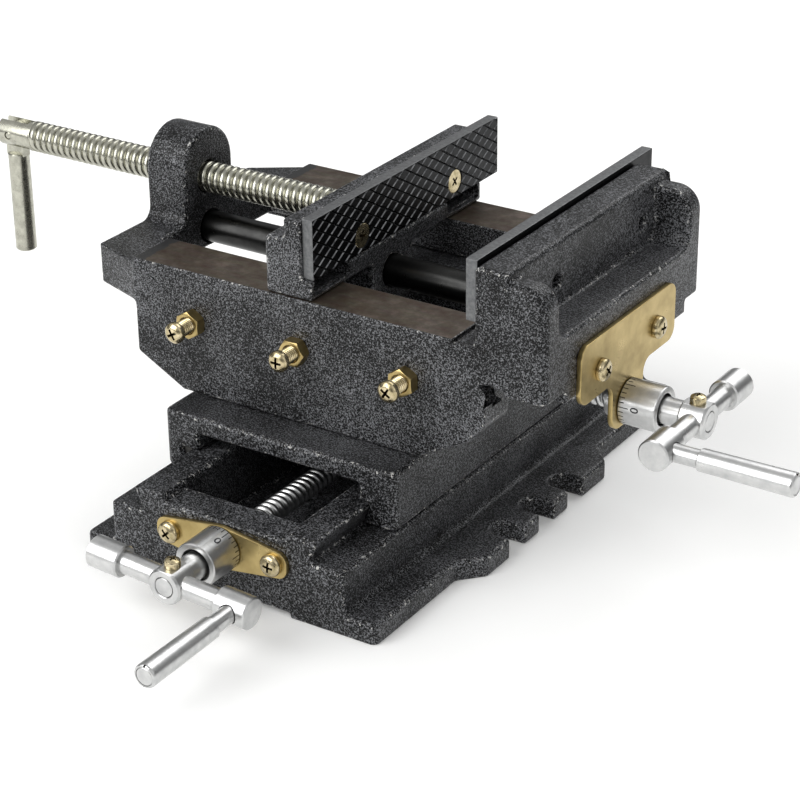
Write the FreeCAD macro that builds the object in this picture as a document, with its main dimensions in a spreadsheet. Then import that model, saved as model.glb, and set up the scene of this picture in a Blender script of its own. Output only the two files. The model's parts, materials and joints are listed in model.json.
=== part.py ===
"""Cross slide vise: base, saddle, vise body and moving jaw on two dovetail slides.

Frame: origin at the middle of the base's bottom face, +Z up, +X along the clamp screw
towards the fixed jaw (upper slide), +Y away from the lower crank (lower slide).
All lengths are in millimetres. The pose is the one in which both slides stand near
the middle of their travel and the jaws stand open.
"""

import FreeCAD, Part
import math
import os

import Sketcher
from FreeCAD import Rotation, Vector

SIZES = [
    # Base casting
    ("base_length", 220.0, "base along Y"),
    ("flange_width", 126.0, "base flange along X"),
    ("flange_thickness", 8.0, "bottom flange"),
    ("flange_corner", 3.0, "rounding of the flange's corners"),
    ("base_body_width", 100.0, "raised body above the flange"),
    ("base_body_top", 24.5, "ledge beside the lower dovetail"),
    ("base_channel_width", 52.0, "open-top channel between the lower rails"),
    ("base_channel_floor", 9.0, "top of the channel floor"),
    ("front_wall", 14.0, "wall that carries the lower screw"),
    ("front_wall_top", 30.3, "top of that wall"),
    ("relief_width", 54.0, "hollow under the base"),
    ("relief_depth", 2.0, "depth of that hollow"),
    ("ear_reach", 8.0, "ears beyond the flange"),
    ("ear_front", -49.5, "front end of the row of ears"),
    ("ear_back", 38.0, "back end of the row of ears"),
    ("ear_ramp", 9.0, "length of the slanting ends of the ears"),
    ("slot_width", 10.4, "U slots for clamping bolts"),
    ("slot_pitch", 21.5, "distance between U slots"),
    ("slot_middle", -6.8, "middle one of the three U slots"),
    ("slot_depth", 5.5, "slot centre inside the ears' outer edge"),
    # Dovetails, the same for both slides
    ("dovetail_top", 79.0, "width over the top of a dovetail"),
    ("dovetail_height", 8.8, "height of a dovetail"),
    ("dovetail_lean", 3.6, "undercut of each side"),
    ("slide_gap", 0.06, "running clearance of a slide"),
    ("lift_gap", 0.4, "clearance between a saddle leg and its ledge"),
    ("gib_thickness", 4.0, "gib strip, measured along its slide's width"),
    ("gib_screw", 6.0, "thread of the gib screws"),
    ("gib_pitch", 45.6, "distance between gib screws"),
    ("gib_screw_out", 13.5, "gib screw's length outside its wall"),
    ("gib_nut_across", 10.0, "lock nut across flats"),
    ("gib_nut_thick", 4.6, "lock nut thickness"),
    ("gib_end_gap", 2.0, "gib's ends inside its slide"),
    ("gib_head", 9.0, "gib screw head"),
    ("gib_head_thick", 3.6, "gib screw head thickness"),
    ("fit_gap", 0.05, "clearance of a screw or bar in its bore"),
    # Saddle
    ("saddle_length", 143.0, "saddle along Y"),
    ("saddle_width", 100.0, "saddle along X"),
    ("saddle_middle", -6.0, "saddle's middle on Y in this pose"),
    ("saddle_top", 47.5, "top of the saddle's slab"),
    ("saddle_relief_width", 70.0, "relief above the lower dovetail"),
    ("saddle_relief_top", 40.5, "top of that relief"),
    ("upper_neck", 72.8, "foot of the upper dovetail"),
    ("saddle_channel_width", 42.0, "open-top channel between the upper rails"),
    ("saddle_channel_floor", 51.0, "top of that channel's floor"),
    # Vise body
    ("body_front", -62.5, "front wall's face"),
    ("body_back", 51.0, "back rail's outer side"),
    ("back_leg_inset", 9.5, "back leg behind the rail's outer side"),
    ("back_leg_bottom", 74.0, "bottom of the back leg"),
    ("rail_top", 96.5, "machined tops of the rails"),
    ("rail_bottom", 81.0, "underside of the back rail"),
    ("base_fillet", 2.5, "fillet between the base's body and its flange"),
    ("saddle_corner", 3.0, "rounding of the saddle's upright corners"),
    ("rail_width", 22.0, "each rail across its top"),
    ("front_left", -73.0, "left end of the front wall"),
    ("front_right", 77.0, "right end of the front wall"),
    ("front_low_left", -52.5, "left end of the front wall's lower edge"),
    ("front_low_right", 50.0, "right end of the front wall's lower edge"),
    ("front_slope_top", 59.0, "height at which the wall starts to slope in"),
    ("front_knee", 70.3, "knee of the front wall's right slope"),
    ("front_step", 66.5, "height at which the right slope ends"),
    ("wall_gap", 0.5, "front wall above the saddle"),
    ("block_left", -94.5, "left end of the nut block"),
    ("block_front", -55.0, "nut block's left corner, front"),
    ("block_back", 37.0, "nut block's left corner, back"),
    ("block_top", 95.0, "top of the nut block"),
    ("block_bottom", 79.0, "bottom of the nut block"),
    ("boss_right", -76.5, "boss face towards the jaws"),
    ("boss_radius", 15.0, "round top of the boss"),
    ("boss_rise", 4.5, "boss centre above the clamp screw"),
    ("boss_fillet", 5.0, "fillet at the boss's foot"),
    ("jaw_block_start", 64.0, "fixed jaw's foot, start of the relief groove"),
    ("groove_width", 2.2, "relief groove across the rails"),
    ("groove_depth", 1.6, "depth of that groove"),
    ("channel_run_out", 1.0, "channel beyond the fixed jaw plate's face"),
    ("web_round", 2.0, "rounding of the web's top edges"),
    ("body_right", 100.0, "right face of the vise body"),
    ("end_front_bottom", 80.0, "underside of the fixed jaw's end, front"),
    ("end_bottom", 75.0, "underside of the fixed jaw's end, middle"),
    ("slot_end", 84.0, "right end of the upper slot"),
    ("end_middle_front", -48.0, "front side of the end's deeper middle"),
    ("web_thickness", 13.0, "fixed jaw web behind its plate"),
    ("web_top", 125.0, "top of the web"),
    ("cheek_top", 121.5, "top of the cheeks beside the pocket"),
    ("cheek_thickness", 9.5, "cheeks beside the pocket"),
    ("cheek_round", 9.0, "rounding of the cheeks' outer corners"),
    ("pocket_floor", 101.0, "floor of the pocket behind the web"),
    ("pocket_round", 6.0, "rounding of the pocket's lower corners"),
    ("jaw_corner", 3.0, "rounding of the fixed jaw's upright corners"),
    # Jaws
    ("plate_length", 125.0, "jaw plates along Y"),
    ("plate_height", 22.5, "jaw plates"),
    ("plate_thickness", 4.5, "jaw plates"),
    ("plate_bottom", 104.0, "bottom edge of the jaw plates"),
    ("plate_front", -60.4, "front end of the jaw plates"),
    ("plate_screw_pitch", 62.7, "distance between a plate's screws"),
    ("plate_screw_height", 110.2, "height of the plates' screws"),
    ("plate_screw", 5.0, "thread of the plates' screws"),
    ("plate_screw_head", 9.6, "countersunk heads"),
    ("plate_screw_grip", 9.0, "thread in the casting"),
    ("fixed_face", 68.0, "gripping face of the fixed jaw plate"),
    ("moving_face", 6.3, "gripping face of the moving jaw plate"),
    ("jaw_inset", 0.5, "moving jaw's near end behind the front wall's face"),
    ("jaw_seat", 0.05, "clearance between the moving jaw and the rails"),
    ("jaw_back", 15.0, "moving jaw behind its plate"),
    ("jaw_upper", 7.0, "thickness of the jaw's upper part"),
    ("jaw_step_top", 118.5, "top of the jaw's rear step"),
    ("jaw_top", 125.6, "top of the moving jaw casting"),
    ("jaw_far_end", 52.0, "far end of the moving jaw casting"),
    ("foot_pocket_width", 22.0, "recess in each foot of the moving jaw"),
    ("foot_pocket_depth", 9.0, "depth of that recess"),
    ("foot_rim", 2.2, "rim under and beside that recess"),
    ("foot_pocket_round", 2.0, "rounding of the recess's lower corners"),
    ("jaw_step_round", 2.5, "rounding of the rear step's edge"),
    ("jaw_top_round", 1.0, "rounding of the casting's top edge"),
    ("tongue_width", 27.0, "moving jaw's tongue between the rails"),
    ("tongue_bottom", 76.5, "bottom of the tongue"),
    # Clamp screw and guide bar
    ("clamp_y", -10.0, "clamp screw's axis"),
    ("clamp_z", 110.0, "clamp screw's axis"),
    ("clamp_screw", 12.0, "clamp screw's outside diameter"),
    ("clamp_pitch", 3.0, "clamp screw's thread"),
    ("clamp_head_left", -178.0, "left end of the clamp screw"),
    ("clamp_head_length", 16.0, "plain head of the clamp screw"),
    ("clamp_head", 11.4, "diameter of that head"),
    ("clamp_slot_width", 4.2, "slot for the handle's tang"),
    ("clamp_slot_length", 14.0, "slot for the handle's tang"),
    ("thread_gap", 0.3, "clearance over a thread's crests"),
    ("journal", 9.0, "clamp screw's journal in the jaw"),
    ("journal_length", 13.0, "that journal"),
    ("journal_groove", 6.4, "groove for the retaining pin"),
    ("retaining_pin", 2.5, "retaining pin"),
    ("guide_bar", 12.0, "guide bar's diameter"),
    ("guide_end", 2.0, "guide bar's left end inside the nut block"),
    ("guide_reach", 12.0, "guide bar beyond the fixed jaw plate's face"),
    ("guide_z", 90.0, "guide bar's axis"),
    ("handle_bar", 8.5, "clamp handle's diameter"),
    ("handle_length", 50.0, "clamp handle below its pin"),
    ("handle_shoulder", 8.4, "pin to the full diameter of the handle, which clears the head"),
    ("handle_tang", 4.0, "thickness of the handle's tang"),
    ("handle_pin", 3.0, "pin of the clamp handle"),
    ("handle_pin_inset", 6.0, "pin from the clamp screw's left end"),
    # Lead screws and cranks, the same for both slides
    ("lead_screw", 9.0, "lead screws' outside diameter"),
    ("lead_pitch", 3.0, "lead screws' thread"),
    ("thread_depth", 1.1, "depth of the thread grooves"),
    ("lower_screw_z", 21.0, "lower lead screw's axis"),
    ("lower_screw_end", 64.0, "back end of the lower lead screw"),
    ("upper_screw_z", 60.0, "upper lead screw's axis"),
    ("upper_screw_end", -62.0, "left end of the upper lead screw"),
    ("screw_collar", 14.0, "collar of a lead screw behind its plate"),
    ("screw_collar_thick", 4.0, "that collar"),
    ("shaft", 7.4, "crank end of a lead screw"),
    ("screw_plate_thick", 2.0, "plates that hold the lead screws"),
    ("dial", 17.0, "dial collar"),
    ("dial_length", 14.5, "dial collar"),
    ("dial_bore", 12.0, "open front of the dial"),
    ("dial_web", 5.0, "dial's wall next to its plate"),
    ("dial_gap", 0.25, "dial to its plate"),
    ("hub", 13.5, "crank hub"),
    ("hub_length", 10.0, "crank hub"),
    ("hub_neck", 10.0, "hub's neck inside the dial"),
    ("hub_start", 24.2, "hub from the casting's face"),
    ("crank_reach", 27.0, "crank's middle to the handle's axis"),
    ("crank_bar", 8.0, "crank bar"),
    ("crank_knob", 12.4, "crank's end knobs"),
    ("knob_length", 13.0, "crank's end knobs"),
    ("lower_crank_tilt", 3.7, "lower crank's turn in this pose, in degrees"),
    ("upper_crank_tilt", 0.0, "upper crank's turn in this pose, in degrees"),
    ("crank_set_screw", 4.0, "crank's set screw"),
    ("set_screw_head", 5.8, "head of that screw"),
    ("set_head_thick", 2.6, "head of that screw"),
    ("rivet_thick", 2.0, "riveted end of the spindle"),
    ("spindle", 4.6, "handle spindle inside its sleeve"),
    ("spindle_neck", 6.6, "handle spindle's neck"),
    ("grip_start", 44.0, "handle sleeve from the casting's face"),
    ("grip", 8.2, "handle sleeve at its neck end"),
    ("grip_end", 8.8, "handle sleeve at its free end"),
    ("grip_length", 35.0, "handle sleeve"),
    # Plates and small screws
    ("lower_plate_half", 28.0, "half the length of the lower screw plate"),
    ("lower_plate_rise", 8.6, "half the height of that plate at its middle"),
    ("lower_plate_end", 4.6, "half the height of that plate's ends"),
    ("lower_plate_corner", 4.3, "rounding of those ends"),
    ("lower_plate_round", 12.0, "rounding of that plate's middle"),
    ("lower_plate_screw", 22.0, "screw from the middle of that plate"),
    ("upper_plate_half", 35.0, "half the length of the upper screw plate"),
    ("upper_plate_top", 93.5, "its top edge"),
    ("upper_plate_bottom", 71.0, "its lower edge"),
    ("upper_plate_neck", 11.5, "half the width of its neck"),
    ("upper_plate_foot", 8.5, "its neck below the lead screw's axis"),
    ("upper_plate_corner", 5.0, "rounding of its corners"),
    ("upper_plate_foot_round", 6.0, "rounding of its foot"),
    ("upper_plate_screw", 20.6, "screw from the middle of that plate"),
    ("upper_plate_screw_z", 80.5, "height of those screws"),
    ("small_screw", 5.0, "thread of the plates' screws"),
    ("small_head", 9.0, "pan heads"),
    ("small_head_thick", 3.2, "pan heads"),
    ("small_length", 10.0, "length of thread"),
    ("nut_length", 20.0, "lead screw nuts along their screws"),
    ("nut_width", 28.0, "lead screw nuts"),
    ("lower_nut_bottom", 13.0, "bottom of the lower nut"),
    ("upper_nut_top", 68.0, "top of the upper nut"),
    ("upper_nut_x", 25.0, "upper nut's middle"),
    ("nut_bolt", 6.0, "bolts of the nuts"),
    ("nut_bolt_offset", 9.0, "bolts beside the screw's axis"),
    ("nut_bolt_head", 10.0, "their heads"),
    ("nut_bolt_head_thick", 5.0, "their heads"),
    ("nut_bolt_sink", 4.0, "counterbore for those heads"),
    ("nut_bolt_grip", 8.0, "thread in a nut"),
]


class Size:
    """A length that knows its number and the spreadsheet formula that gives it."""

    def __init__(self, number, formula):
        self.number = float(number)
        self.formula = formula

    @staticmethod
    def of(value):
        return value if isinstance(value, Size) else Size(value, f"{value:.6g}")

    def __add__(self, other):
        other = Size.of(other)
        return Size(self.number + other.number, f"({self.formula} + {other.formula})")

    def __sub__(self, other):
        other = Size.of(other)
        return Size(self.number - other.number, f"({self.formula} - {other.formula})")

    def __mul__(self, other):
        other = Size.of(other)
        return Size(self.number * other.number, f"({self.formula} * {other.formula})")

    def __truediv__(self, other):
        other = Size.of(other)
        return Size(self.number / other.number, f"({self.formula} / {other.formula})")

    def __radd__(self, other):
        return Size.of(other) + self

    def __rsub__(self, other):
        return Size.of(other) - self

    def __rmul__(self, other):
        return Size.of(other) * self

    def __neg__(self):
        return Size(-self.number, f"(0 - {self.formula})")


doc = FreeCAD.newDocument("cross_slide_vise")
sheet = doc.addObject("Spreadsheet::Sheet", "sizes")
S = {}
for row, (alias, number, note) in enumerate(SIZES, start=1):
    sheet.set(f"A{row}", alias)
    sheet.set(f"B{row}", str(number))
    sheet.set(f"C{row}", note)
    sheet.setAlias(f"B{row}", alias)
    S[alias] = Size(number, f"sizes.{alias}")
doc.recompute()

ZERO = Size(0.0, "0")
NODES = []
PLANES = {"XY": "XY_Plane", "XZ": "XZ_Plane", "YZ": "YZ_Plane"}


def bind(item, prop, size):
    """Tie one property of a document object to the spreadsheet."""
    item.setExpression(prop, Size.of(size).formula)


def node(item, name):
    """Mark a document object as a finished piece with its node name."""
    item.Label = name
    NODES.append(item)
    return item


def corner_round(before, point, after, radius):
    """Where a round corner leaves its two sides, and the round's centre."""
    to_before = (before - point).normalize()
    to_after = (after - point).normalize()
    half = to_before.getAngle(to_after) / 2
    run = radius / math.tan(half)
    centre = point + (to_before + to_after).normalize() * (radius / math.sin(half))
    return point + to_before * run, point + to_after * run, centre


def draw_circle(sketch, centre_u, centre_v, radius):
    """A fully constrained circle."""
    place = Vector(Size.of(centre_u).number, Size.of(centre_v).number, 0)
    circle = sketch.addGeometry(Part.Circle(place, Vector(0, 0, 1), radius.number))
    pin_point(sketch, circle, 3, centre_u, centre_v)
    index = sketch.addConstraint(Sketcher.Constraint("Radius", circle, radius.number))
    bind(sketch, f"Constraints[{index}]", radius)


def pin_point(sketch, geometry, vertex, size_u, size_v):
    """Hold a sketch point at two lengths from the sketch's origin."""
    for kind, size in (("DistanceX", Size.of(size_u)), ("DistanceY", Size.of(size_v))):
        rule = Sketcher.Constraint(kind, -1, 1, geometry, vertex, size.number)
        bind(sketch, f"Constraints[{sketch.addConstraint(rule)}]", size)


def draw_outline(sketch, corners):
    """A closed outline of straight sides. A corner is (u, v) or (u, v, radius)."""
    corners = [tuple(Size.of(part) for part in corner) for corner in corners]
    points = [Vector(corner[0].number, corner[1].number, 0) for corner in corners]
    ends = []
    for index, corner in enumerate(corners):
        point = points[index]
        if len(corner) == 3:
            after = points[(index + 1) % len(points)]
            ends.append(corner_round(points[index - 1], point, after, corner[2].number))
        else:
            ends.append((point, point, None))
    sides = []
    for index in range(len(corners)):
        side = Part.LineSegment(ends[index][1], ends[(index + 1) % len(ends)][0])
        sides.append(sketch.addGeometry(side))
    for index, corner in enumerate(corners):
        before, after = sides[index - 1], sides[index]
        if len(corner) == 2:
            sketch.addConstraint(Sketcher.Constraint("Coincident", before, 2, after, 1))
            pin_point(sketch, after, 1, corner[0], corner[1])
            continue
        start, end, centre = ends[index]
        radius = corner[2]
        middle = centre + (points[index] - centre).normalize() * radius.number
        leftward = (middle - start).cross(end - middle).z > 0
        arc = sketch.addGeometry(Part.Arc(*((start, middle, end) if leftward
                                            else (end, middle, start))))
        first = 1 if leftward else 2
        tip = sketch.addGeometry(Part.Point(points[index]), True)
        sketch.addConstraint(Sketcher.Constraint("Tangent", before, 2, arc, first))
        sketch.addConstraint(Sketcher.Constraint("Tangent", arc, 3 - first, after, 1))
        sketch.addConstraint(Sketcher.Constraint("PointOnObject", tip, 1, before))
        sketch.addConstraint(Sketcher.Constraint("PointOnObject", tip, 1, after))
        rule = Sketcher.Constraint("Radius", arc, radius.number)
        bind(sketch, f"Constraints[{sketch.addConstraint(rule)}]", radius)
        pin_point(sketch, tip, 1, corner[0], corner[1])


class Casting:
    """A PartDesign body that grows by pads and pockets between two heights."""

    def __init__(self, name):
        self.body = doc.addObject("PartDesign::Body", name)
        self.name = name

    def sketch(self, plane, at):
        """A sketch parallel to an origin plane, at a coordinate along its axis."""
        roles = [item for item in self.body.Origin.OriginFeatures
                 if item.Role == PLANES[plane]]
        sketch = self.body.newObject("Sketcher::SketchObject", f"{self.name}_sketch")
        sketch.AttachmentSupport = (roles[0], [""])
        sketch.MapMode = "FlatFace"
        bind(sketch, "AttachmentOffset.Base.z", -at if plane == "XZ" else at)
        return sketch

    def feature(self, kind, plane, low, high, outline):
        """Add or remove a straight block whose section is the outline."""
        low, high = Size.of(low), Size.of(high)
        sketch = self.sketch(plane, high if plane == "XZ" else low)
        if isinstance(outline, list):
            draw_outline(sketch, outline)
        else:
            draw_circle(sketch, *outline)
        block = self.body.newObject(f"PartDesign::{kind}", f"{self.name}_{kind.lower()}")
        block.Profile = sketch
        if kind == "Pocket":
            block.Reversed = True
        bind(block, "Length", high - low)
        before = self.body.Shape.Volume if self.body.Shape.Solids else 0.0
        doc.recompute()
        change = self.body.Shape.Volume - before
        if (kind == "Pad") != (change > 0) or abs(change) < 1e-6:
            raise RuntimeError(f"{self.name}: {block.Name} changed {change:.3f} mm3")
        return block

    def pad(self, plane, low, high, outline):
        """Add material."""
        return self.feature("Pad", plane, low, high, outline)

    def cut(self, plane, low, high, outline):
        """Remove material."""
        return self.feature("Pocket", plane, low, high, outline)

    def fillet(self, radius, wanted):
        """Round the edges whose middle point the test accepts."""
        tip = self.body.Tip
        names = [f"Edge{index}" for index, edge in enumerate(tip.Shape.Edges, start=1)
                 if wanted(edge)]
        if not names:
            raise RuntimeError(f"{self.name}: no edge to round")
        fillet = self.body.newObject("PartDesign::Fillet", f"{self.name}_fillet")
        fillet.Base = (tip, names)
        bind(fillet, "Radius", radius)
        doc.recompute()
        return fillet

    def done(self):
        """The finished body as a node."""
        return node(self.body, self.name)


def rectangle(low_u, high_u, low_v, high_v, radius=None):
    """Corners of a rectangle, all sharp or all round."""
    tail = () if radius is None else (radius,)
    places = ((low_u, low_v), (high_u, low_v), (high_u, high_v), (low_u, high_v))
    return [place + tail for place in places]


def box(name, low, high):
    """A Part box between two corners."""
    item = doc.addObject("Part::Box", name)
    for prop, axis in (("Length", 0), ("Width", 1), ("Height", 2)):
        bind(item, prop, Size.of(high[axis]) - Size.of(low[axis]))
    for letter, start in zip("xyz", low):
        bind(item, f"Placement.Base.{letter}", start)
    return item


# Places nearer than this, in mm, count as one
NEAR = 0.01


TURNS = {
    "X": Rotation(Vector(0, 1, 0), 90),
    "-X": Rotation(Vector(0, 1, 0), -90),
    "Y": Rotation(Vector(1, 0, 0), -90),
    "-Y": Rotation(Vector(1, 0, 0), 90),
    "Z": Rotation(),
    "-Z": Rotation(Vector(1, 0, 0), 180),
}


def rod(name, axis, start, diameter, length, end_diameter=None):
    """A Part cylinder, or a cone, from a start point along an axis."""
    kind = "Part::Cylinder" if end_diameter is None else "Part::Cone"
    item = doc.addObject(kind, name)
    if end_diameter is None:
        bind(item, "Radius", Size.of(diameter) / 2)
    else:
        bind(item, "Radius1", Size.of(diameter) / 2)
        bind(item, "Radius2", Size.of(end_diameter) / 2)
    bind(item, "Height", length)
    item.Placement = FreeCAD.Placement(Vector(), TURNS[axis])
    for letter, place in zip("xyz", start):
        bind(item, f"Placement.Base.{letter}", place)
    return item


def hexagon(name, axis, start, across, length):
    """A hexagonal prism, as for a nut."""
    item = doc.addObject("Part::Prism", name)
    item.Polygon = 6
    bind(item, "Circumradius", Size.of(across) / 2 / math.cos(math.pi / 6))
    bind(item, "Height", length)
    item.Placement = FreeCAD.Placement(Vector(), TURNS[axis])
    for letter, place in zip("xyz", start):
        bind(item, f"Placement.Base.{letter}", place)
    return item


def fuse(name, items):
    """One solid out of several."""
    item = doc.addObject("Part::MultiFuse", name)
    item.Shapes = items
    item.Refine = True
    return item


def cut(name, base, tools):
    """A solid with others taken out of it."""
    tool = tools[0] if len(tools) == 1 else fuse(f"{name}_tools", tools)
    item = doc.addObject("Part::Cut", name)
    item.Base = base
    item.Tool = tool
    return item


def group(name, items):
    """Several equal solids as one node."""
    item = doc.addObject("Part::Compound", f"{name}_group")
    item.Links = items
    return node(item, name)


def along(axis, point, distance):
    """A point moved a distance along a signed axis."""
    sign = -1 if axis.startswith("-") else 1
    index = "XYZ".index(axis[-1])
    moved = list(point)
    moved[index] = moved[index] + sign * Size.of(distance)
    return tuple(moved)


def opposite(axis):
    """The same axis the other way."""
    return axis[1:] if axis.startswith("-") else f"-{axis}"


def headed_screw(name, axis, seat, thread, length, head, head_thick):
    """A pan or cap head outside its seat and a shank inwards along the axis."""
    shank = rod(f"{name}_shank", axis, seat, thread, length)
    cap = rod(f"{name}_cap", opposite(axis), seat, head, head_thick)
    return fuse(name, [shank, cap])


def ringed_rod(name, axis, start, diameter, depth, pitch, length):
    """A threaded length: a core with one crest ring for each turn of the thread."""
    core = rod(f"{name}_core", axis, start, diameter - 2 * depth, length)
    ring_count = max(1, int(length.number / pitch.number))
    rings = [core]
    for turn in range(ring_count):
        place = along(axis, start, pitch * turn + pitch / 4)
        rings.append(rod(f"{name}_ring", axis, place, diameter, pitch / 2))
    return fuse(name, rings)


# Places that several pieces share
base_front = -S["base_length"] / 2
base_back = S["base_length"] / 2
lower_half = S["dovetail_top"] / 2
lower_foot = lower_half - S["dovetail_lean"]
lower_dovetail_top = S["base_body_top"] + S["dovetail_height"]
saddle_front = S["saddle_middle"] - S["saddle_length"] / 2
saddle_back = S["saddle_middle"] + S["saddle_length"] / 2
saddle_left = -S["saddle_width"] / 2
saddle_right = S["saddle_width"] / 2
leg_bottom = S["base_body_top"] + S["lift_gap"]
upper_middle = S["saddle_middle"]
upper_dovetail_top = S["upper_neck"] + S["dovetail_height"]
slot_top = upper_dovetail_top + S["lift_gap"]
slope = S["dovetail_lean"] / S["dovetail_height"]
web_front = S["fixed_face"] + S["plate_thickness"]
web_back = web_front + S["web_thickness"]
jaw_face = S["moving_face"] - S["plate_thickness"]
jaw_left = jaw_face - S["jaw_back"]
jaw_bottom = S["rail_top"] + S["jaw_seat"]
plate_back_end = S["plate_front"] + S["plate_length"]
plate_top = S["plate_bottom"] + S["plate_height"]
plate_middle = S["plate_front"] + S["plate_length"] / 2
lower_gib_z = S["base_body_top"] + S["dovetail_height"] / 2
upper_gib_z = S["upper_neck"] + S["dovetail_height"] / 2
gib_bore = S["gib_screw"] / 2 + S["fit_gap"]
pin_x = jaw_left + S["journal_length"] / 2
pin_y = (S["clamp_y"] + S["journal_groove"] / 2 + S["retaining_pin"] / 2
         + 2 * S["fit_gap"])
pin_bottom = S["clamp_z"] - S["journal"]
guide_left = S["block_left"] + S["guide_end"]
guide_right = S["fixed_face"] + S["guide_reach"]
screw_rows = [plate_middle - S["plate_screw_pitch"] / 2,
              plate_middle + S["plate_screw_pitch"] / 2]
gib_rows = [-S["gib_pitch"], ZERO, S["gib_pitch"]]


def dovetail_channel(foot_low, foot_high, foot, top):
    """Section of a female dovetail: its two feet, and its top with the same slope."""
    reach = slope * (top - foot)
    return [(foot_low, foot), (foot_high, foot),
            (foot_high + reach, top), (foot_low - reach, top)]


def base_casting():
    """Base with flange, ears, dovetail rails and the front wall of the lower screw."""
    casting = Casting("base_casting")
    half = S["flange_width"] / 2
    outer = half + S["ear_reach"]
    ramp_front = S["ear_front"] - S["ear_ramp"]
    ramp_back = S["ear_back"] + S["ear_ramp"]
    turn = S["flange_corner"]
    outline = [
        (-half, base_front, turn), (half, base_front, turn),
        (half, ramp_front, turn), (outer, S["ear_front"], turn),
        (outer, S["ear_back"], turn), (half, ramp_back, turn),
        (half, base_back, turn), (-half, base_back, turn),
        (-half, ramp_back, turn), (-outer, S["ear_back"], turn),
        (-outer, S["ear_front"], turn), (-half, ramp_front, turn),
    ]
    casting.pad("XY", ZERO, S["flange_thickness"], outline)
    body = S["base_body_width"] / 2
    channel = S["base_channel_width"] / 2
    foot = S["base_body_top"]
    section = [
        (-body, S["relief_depth"]), (body, S["relief_depth"]),
        (body, foot), (lower_foot, foot), (lower_half, lower_dovetail_top),
        (-lower_half, lower_dovetail_top), (-lower_foot, foot), (-body, foot),
    ]
    casting.pad("XZ", base_front, base_back, section)
    wall_back = base_front + S["front_wall"]
    casting.cut("XZ", wall_back, base_back,
                rectangle(-channel, channel, S["base_channel_floor"], lower_dovetail_top))
    casting.cut("XZ", base_front, wall_back,
                rectangle(-channel, channel, S["front_wall_top"], lower_dovetail_top))
    hollow = S["relief_width"] / 2
    casting.cut("XZ", base_front, base_back,
                rectangle(-hollow, hollow, ZERO, S["relief_depth"]))
    radius = S["slot_width"] / 2
    inner = outer - S["slot_depth"]
    for step in (-1, 0, 1):
        middle = S["slot_middle"] + step * S["slot_pitch"]
        for low, high, centre in ((inner, outer, inner), (-outer, -inner, -inner)):
            casting.cut("XY", ZERO, S["flange_thickness"],
                        rectangle(low, high, middle - radius, middle + radius))
            casting.cut("XY", ZERO, S["flange_thickness"], (centre, middle, radius))
    bore = S["lead_screw"] / 2 + S["thread_gap"]
    casting.cut("XZ", base_front, wall_back, (ZERO, S["lower_screw_z"], bore))
    casting.cut("XZ", base_front, base_front + S["screw_collar_thick"] + S["fit_gap"],
                (ZERO, S["lower_screw_z"], S["screw_collar"] / 2 + S["fit_gap"]))
    for side in (-1, 1):
        casting.cut("XZ", base_front, base_front + S["small_length"] + S["fit_gap"],
                    (side * S["lower_plate_screw"], S["lower_screw_z"],
                     S["small_screw"] / 2 + S["fit_gap"]))
    flange_top = S["flange_thickness"].number

    def body_foot(edge):
        box_of_edge = edge.BoundBox
        flat = abs(box_of_edge.ZMin - flange_top) + abs(box_of_edge.ZMax - flange_top)
        return flat < NEAR and abs(abs(edge.CenterOfMass.x) - body.number) < NEAR

    casting.fillet(S["base_fillet"], body_foot)
    return casting.done()


def saddle_casting():
    """Saddle: female dovetail below, along Y, and male dovetail above, along X."""
    casting = Casting("saddle_casting")
    casting.pad("XY", leg_bottom, S["saddle_top"],
                rectangle(saddle_left, saddle_right, saddle_front, saddle_back,
                          S["saddle_corner"]))
    section = [
        (upper_middle - lower_foot, S["saddle_relief_top"]),
        (upper_middle + lower_foot, S["saddle_relief_top"]),
        (upper_middle + lower_foot, S["upper_neck"]),
        (upper_middle + lower_half, upper_dovetail_top),
        (upper_middle - lower_half, upper_dovetail_top),
        (upper_middle - lower_foot, S["upper_neck"]),
    ]
    casting.pad("YZ", saddle_left, saddle_right, section)
    half = S["saddle_channel_width"] / 2
    floor = S["saddle_channel_floor"]
    casting.cut("YZ", saddle_left, saddle_right,
                rectangle(upper_middle - half, upper_middle + half, floor,
                          upper_dovetail_top))
    low = -lower_foot - S["slide_gap"] - S["gib_thickness"]
    high = lower_foot + S["slide_gap"]
    casting.cut("XZ", saddle_front, saddle_back,
                dovetail_channel(low, high, S["base_body_top"],
                                 lower_dovetail_top + S["lift_gap"]))
    relief = S["saddle_relief_width"] / 2
    relief_top = S["saddle_relief_top"]
    casting.cut("XZ", saddle_front, saddle_back,
                rectangle(-relief, relief, lower_dovetail_top, relief_top))
    bolt = S["nut_bolt"] / 2 + S["fit_gap"]
    head = S["nut_bolt_head"] / 2 + S["thread_gap"]
    sink = S["nut_bolt_sink"]
    for side in (-1, 1):
        offset = side * S["nut_bolt_offset"]
        casting.cut("XY", relief_top, floor, (offset, upper_middle, bolt))
        casting.cut("XY", floor - sink, floor, (offset, upper_middle, head))
        casting.cut("XY", relief_top, floor, (S["upper_nut_x"], upper_middle + offset, bolt))
        casting.cut("XY", relief_top, relief_top + sink,
                    (S["upper_nut_x"], upper_middle + offset, head))
    for offset in gib_rows:
        casting.cut("YZ", saddle_left, low,
                    (upper_middle + offset, lower_gib_z, gib_bore))
    return casting.done()


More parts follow.
